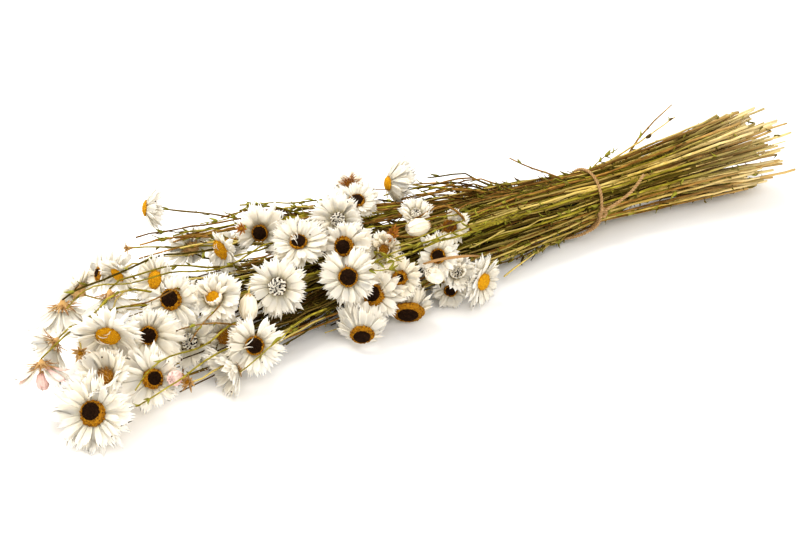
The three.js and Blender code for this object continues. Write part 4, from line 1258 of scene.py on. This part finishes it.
# Single stems that lie over the heads or stand off the bundle: their finish, radius, leaves and way
OVERLYING = (
    ("brown", 0.9, 0, (
        (3, -45, 48), (1, -41, 54), (0, -34, 58), (-3, -31, 61), (-7, -27, 62), (-10, -25, 61),
        (-17, -26, 59), (-21, -25, 57), (-26, -22, 54),
    )),
    ("brown", 0.6, 2, (
        (61, -12, 44), (40, -14, 48), (15, -22, 54), (-5, -33, 58), (-21, -34, 60), (-32, -31, 58),
        (-45, -30, 56),
    )),
    ("olive", 0.6, 4, (
        (-109, -60, 34), (-130, -66, 36), (-143, -74, 35), (-158, -80, 33), (-168, -82, 28),
        (-174, -76, 20),
    )),
    ("olive", 0.6, 4, (
        (-95, 4, 46), (-121, 3, 50), (-142, -8, 50), (-156, -15, 52), (-173, -9, 52), (-185, -5, 54),
        (-196, -9, 56), (-206, -7, 54), (-217, -1, 52), (-227, 10, 50), (-237, 6, 50), (-245, 1, 50),
        (-251, -3, 47),
    )),
    ("brown", 0.5, 2, (
        (-156, -58, 34), (-172, -56, 42), (-183, -49, 42), (-199, -43, 38),
    )),
    ("brown", 0.5, 2, (
        (-170, -42, 46), (-178, -47, 44), (-189, -52, 42), (-196, -58, 38),
    )),
    ("olive", 0.6, 4, (
        (-160, -44, 32), (-170, -51, 36), (-186, -66, 40), (-198, -72, 42), (-215, -73, 44),
        (-224, -74, 42), (-230, -76, 40), (-240, -84, 36),
    )),
    ("olive", 0.6, 4, (
        (-170, -60, 28), (-184, -66, 30), (-200, -72, 30), (-212, -78, 28), (-225, -79, 26),
        (-231, -80, 24), (-241, -76, 18),
    )),
    ("olive", 0.85, 24, (
        (53, -24, 36), (27, -36, 42), (9, -44, 47), (-9, -52, 52), (-26, -56, 56), (-41, -61, 58),
        (-53, -63, 58), (-62, -61, 56),
    )),
    ("olive", 0.6, 8, (
        (55, -23, 38), (30, -34, 44), (1, -48, 54), (-35, -59, 60), (-60, -57, 58), (-76, -57, 54),
    )),
    ("olive", 0.6, 8, (
        (57, -17, 40), (42, -21, 43), (28, -25, 47), (12, -34, 51), (-7, -43, 56), (-24, -49, 60),
        (-42, -53, 60), (-56, -51, 58),
    )),
    ("straw", 0.6, 8, (
        (54, -24, 28), (34, -33, 33), (16, -40, 34), (2, -45, 36),
    )),
    ("olive", 0.4, 7, (
        (-72, -49, 50), (-66, -59, 52), (-54, -58, 52),
    )),
    ("olive", 0.4, 7, (
        (-76, -54, 48), (-70, -63, 50), (-60, -61, 50),
    )),
    ("olive", 0.4, 7, (
        (-66, -42, 52), (-62, -54, 54), (-57, -61, 52),
    )),
    ("olive", 0.5, 20, (
        (-68, 25, 56), (-79, 28, 57), (-88, 28, 57), (-96, 35, 58), (-102, 35, 58), (-111, 38, 58),
        (-116, 43, 57), (-119, 40, 55), (-123, 39, 52), (-129, 42, 50), (-143, 52, 46),
    )),
    ("straw", 0.5, 20, (
        (57, -34, 17), (48, -34, 15), (38, -32, 12), (30, -30, 8),
    )),
    ("brown", 0.9, 9, (
        (92, -22, 4), (86, -18, 3.5), (81, -14, 5), (78, -12, 8),
    )),
    ("olive", 0.5, 6, (
        (21, -24, 50), (3, -35, 56), (-21, -36, 60), (-39, -34, 60), (-62, -23, 58),
    )),
    ("brown", 0.5, 0, (
        (-40, 32, 52), (-31, 26, 54), (-20, 23, 52),
    )),
    ("brown", 0.55, 1, (
        (-186, -20, 50), (-188, -22, 54), (-200, -31, 56), (-210, -31, 54), (-218, -22, 50),
    )),
    ("straw", 0.7, 4, (
        (140, 2, 38), (170, 6, 44), (189, 8, 50), (209, 11, 55),
    )),
    ("olive", 0.45, 16, (
        (126, 0, 37), (138, 3, 42), (147, 4, 45), (155, 5, 46),
    )),
    ("brown", 0.6, 3, (
        (62, -18, 16), (56, -22, 14), (48, -29, 8), (41, -28, 4), (39, -19, 3),
    )),
)

for finish, radius, leaves, way in OVERLYING:
    line = rough_way(eased(resampled(way, 4), 3), 0.4, 6)
    stem_ways[finish].append((line, np.linspace(radius, radius * 0.65, len(line)), 0.2))
    leafy_ways.append((line, leaves, 0))


def core_at(x):
    """The bundle's middle and half sizes at a place along it."""
    places = [station[0] for station in CORE_STATIONS][::-1]
    return [np.interp(x, places, [station[k] for station in CORE_STATIONS][::-1]) for k in range(1, 5)]


# The stems that fill the bundle, from its cut end along the core to somewhere under the heads
for i in range(PACKED_STEMS):
    angle = 2 * math.pi * (i + 0.6 * next(draw)) / PACKED_STEMS
    depth = 0.86 + 0.26 * next(draw)
    far = -90 + 110 * next(draw)
    near = CUT_END_X - 36 * next(draw) + (0 if next(draw) < 0.86 else 22 * next(draw))
    drift = 1.1 * (next(draw) - 0.5)
    flare = OUTER_RING * CUT_END_FLARE * (0.4 + 0.7 * math.sqrt(next(draw)))
    points = [ring_point(near, CUT_END_CENTRE, flare, angle - drift * 0.5)]
    for x in np.arange(170, far, -14):
        y, z, wide, high = core_at(x)
        if x < 0:
            wide, high = wide - x * 0.12, high - x * 0.1
        turn = angle + drift * (TIE_X - x) / 120
        points.append([x, y + wide * depth * math.cos(turn), max(1.2, z + high * depth * math.sin(turn))])
    thickness = STEM_RADIUS * (0.6 + 0.55 * next(draw))
    # Stems that lie deeper in the bundle, and their leaves, get painted shade, the more the deeper
    inner = max(0, 1 - depth) * 6
    neck = NECK_RADIUS * (0.7 + 0.5 * next(draw))
    line = add_stem(eased(points, 1), thickness, neck, 0.9, shaded=inner, step=12)
    leafy_ways.append((line, 11, inner))
    add_twiglets(line, 2)

# Thin stems that spread out from the bundle under the heads, darkened with painted shade for the heads'
# shadow, as are their leaves
y, z, wide, high = core_at(LOOSE_OUTLINE_X)
for _ in range(LOOSE_STEMS):
    angle = 2 * math.pi * next(draw)
    start = np.array([LOOSE_START_X, y + wide * 0.8 * math.cos(angle), z + high * 0.8 * math.sin(angle)])
    reach = next(draw)
    aside = (60 + 30 * reach) * (next(draw) - 0.5)
    tip = np.array([-60 - 150 * reach, aside - 12, 4 + (30 - 14 * reach) * next(draw)])
    away = start - (60, 0, 0)
    line = add_stem(bezier(start, away, tip + (50, 0, 4), tip, 12), 0.75, 0.4, 1.6, shaded=0.8, step=12)
    leafy_ways.append((line, 9, 0.75))
    add_twiglets(line, 2)

# Bands of thin stems without a flower: their number, root, middle of the tips, spread of these, and leaves
BANDS = (
    (12, (30, -4, 32), (-150, 50, 41), (80, 26, 14), 6),
    (6, (30, -4, 32), (-145, 2, 45), (60, 24, 8), 6),
    (12, (92, -8, 27), (0, 24, 43), (44, 18, 8), 5),
)

for count, root, middle, spread, leaves in BANDS:
    for _ in range(count):
        start = np.array([root[0], root[1] + 16 * next(draw), root[2] + 7 * next(draw)])
        tip = np.array([at + wide * (next(draw) - 0.5) for at, wide in zip(middle, spread)])
        route = bezier(start, start - (60, -8, -9), tip + (50, -4, 3), tip, 14)
        line = add_stem(route, 0.72, 0.5, 1.8, finish="brown" if next(draw) < 0.8 else "olive")
        leafy_ways.append((line, leaves, 0.1))
        add_twiglets(line, 4)


def lofted_core():
    """The inside of the bundle, in painted shade: a cylinder with a ring of edges at each station, shaped to
    it.
    """
    along_x = (0, math.pi / 2, 0)
    bpy.ops.mesh.primitive_cylinder_add(vertices=CORE_SIDES, radius=1, depth=1, rotation=along_x)
    shape = bpy.context.object
    only(shape)
    bpy.ops.object.transform_apply(rotation=True)
    bpy.ops.object.mode_set(mode="EDIT")
    pick(shape, lambda co: co.x > 0.4)
    bpy.ops.transform.translate(value=(CORE_STATIONS[0][0] * MM - 0.5, 0, 0))
    pick(shape, lambda co: co.x < 0.0)
    bpy.ops.transform.translate(value=(CORE_STATIONS[1][0] * MM + 0.5, 0, 0))
    for before, station in zip(CORE_STATIONS[1:], CORE_STATIONS[2:]):
        pick(shape, lambda co: co.x < before[0] * MM + 0.001)
        move = {"value": ((station[0] - before[0]) * MM, 0, 0)}
        bpy.ops.mesh.extrude_region_move(TRANSFORM_OT_translate=move)
    for x, y, z, wide, high in CORE_STATIONS:
        pick(shape, lambda co: abs(co.x - x * MM) < 0.0005)
        size = (1, wide * MM * CORE_INSET, high * MM * CORE_INSET)
        bpy.ops.transform.resize(value=size, center_override=(x * MM, 0, 0))
        bpy.ops.transform.translate(value=(0, y * MM, z * MM))
    bpy.ops.object.mode_set(mode="OBJECT")
    shape.data.materials.append(PAINTED_SHADE_CORE)
    bpy.ops.object.shade_smooth()
    shape.name = shape.data.name = "stem_core"
    return shape


def leaves_on(line, count, shaded):
    """Small curled leaves up a stem, darkened with painted shade the more it is shaded."""
    placed = []
    for _ in range(count):
        i = int((len(line) - 1) * next(draw) ** 0.9)
        tangent = unit(line[i + 1] - line[i])
        roll = 2 * math.pi * next(draw)
        side = unit(np.cross(tangent, (0, 0, 1)))
        outward = side * math.cos(roll) + np.cross(side, tangent) * math.sin(roll)
        length = SHORTEST_LEAF + LEAF_LENGTH_PLAY * next(draw)
        points = bent(
            leaf, line[i] + outward * 0.3, tangent, outward, length, length * (0.24 + 0.18 * next(draw)),
            math.radians(28 * next(draw)), math.radians(-80 + 200 * next(draw)),
            thick=0.12, trough=0.2, sway=1.1 * (next(draw) - 0.5),
        )
        placed.append((leaf, pressed(points, []), shaded + (1 - shaded) * next(draw) ** 1.5))
    return placed


leaf_copies = {"bundle": [], "flowers": []}
for line, count, shaded in leafy_ways:
    for copy in leaves_on(line, count, shaded):
        leaf_copies["bundle" if copy[1][0, 0] > LEAVES_PART_AT else "flowers"].append(copy)
fallen = bent(
    dry_leaf, np.array(FALLEN_LEAF_ROOT, float), unit(np.array(FALLEN_LEAF_WAY)), np.array([0, 0, 1]),
    **FALLEN_LEAF,
)
leaf_copies["flowers"].append((dry_leaf, fallen, 0.65))

for finish, material in (("straw", STRAW), ("olive", OLIVE), ("brown", BROWN)):
    kept(tubes(f"{finish}_stems", stem_ways[finish], material), "stems", "stems_and_leaves")
kept(lofted_core(), "stems", "stems_and_leaves")
for place, copies in leaf_copies.items():
    kept(joined(f"leaves_at_{place}", copies), "stems", "stems_and_leaves")

# The tie


def strand(points, phase):
    """One ply of the twine, wound round the way that the twine takes."""
    line = resampled(points, PLY_STEP)
    ahead = np.gradient(line, axis=0)
    across = np.array([0.0, 0.0, 1.0])
    wound = []
    for k, point in enumerate(line):
        tangent = unit(ahead[k])
        across = unit(across - tangent * (across @ tangent))
        other = np.cross(tangent, across)
        turn = phase + 2 * math.pi * PLY_STEP * k / PLY_PITCH
        wound.append(point + across * (PLY_OFFSET * math.cos(turn)) + other * (PLY_OFFSET * math.sin(turn)))
    return np.array(wound)


# Once round the bundle, a loop on its side for the knot, and the two tails
loop = [
    ring_point(TWINE_X + TIE_SLANT * math.sin(turn), TIE_CENTRE, TIE_RADIUS, turn)
    for turn in np.linspace(KNOT_ANGLE, KNOT_ANGLE + 2 * math.pi, 90)
]
knot = np.array(ring_point(TWINE_X, TIE_CENTRE, TIE_RADIUS + 1, KNOT_ANGLE))
knot_loop = [
    knot + (
        KNOT_WIDTH * math.cos(turn),
        KNOT_DEPTH * math.sin(2 * turn) - KNOT_OUT,
        KNOT_HEIGHT * math.sin(turn),
    )
    for turn in np.linspace(0, 2 * math.pi, 24)
]
routes = [np.array(loop), np.array(knot_loop)]
routes += [eased(resampled([knot, *tail], 3), 3) for tail in TAILS]
plies = []
for route in routes:
    for phase in (0, math.pi):
        wound = strand(route, phase)
        plies.append((wound, np.full(len(wound), PLY_RADIUS), 0.0))
kept(tubes("twine", plies, TWINE, sides=2), "twine", "twine_tie")

for template in templates:
    bpy.data.objects.remove(template)

# The floor, the light and the camera

bpy.ops.mesh.primitive_plane_add(size=FLOOR_SIZE, location=(0, 0, -FLOOR_DROP))
floor = bpy.context.object
floor.name = "floor"
paper = bpy.data.materials.new("floor_paper")
paper.use_nodes = True
paper.node_tree.nodes["Principled BSDF"].inputs["Base Color"].default_value = FLOOR_COLOUR
paper.node_tree.nodes["Principled BSDF"].inputs["Roughness"].default_value = 0.9
floor.data.materials.append(paper)


def soft_light(name, place, size, power):
    """A round light at a place in metres, which shines at the origin."""
    light = bpy.data.lights.new(name, "AREA")
    light.color = LIGHT_COLOUR
    light.shape = "DISK"
    light.size = size
    light.energy = power
    lamp = bpy.data.objects.new(name, light)
    bpy.context.scene.collection.objects.link(lamp)
    lamp.location = place
    lamp.rotation_euler = Vector(place).to_track_quat("Z", "Y").to_euler()


soft_light("key_light", (-0.5, 0.75, 1.3), 0.9, 18.5)
soft_light("fill_light", (-0.3, -1.3, 1.2), 1.6, 13)

world = bpy.data.worlds.new("studio")
world.use_nodes = True
world.node_tree.nodes["Background"].inputs["Color"].default_value = SKY_COLOUR
world.node_tree.nodes["Background"].inputs["Strength"].default_value = SKY_STRENGTH
bpy.context.scene.world = world
bpy.context.scene.view_settings.view_transform = "Standard"
bpy.context.scene.view_settings.look = "Medium High Contrast"

toward_camera = Vector((
    math.sin(VIEW_TURN) * math.cos(VIEW_TILT),
    -math.cos(VIEW_TURN) * math.cos(VIEW_TILT),
    math.sin(VIEW_TILT),
))
lens = bpy.data.cameras.new("camera")
lens.lens = LENS_MM
lens.sensor_width = 36
camera = bpy.data.objects.new("camera", lens)
bpy.context.scene.collection.objects.link(camera)
camera.location = (Vector(VIEW_TARGET) + toward_camera * VIEW_DISTANCE) * MM
camera.rotation_euler = toward_camera.to_track_quat("Z", "Y").to_euler()
bpy.context.scene.camera = camera
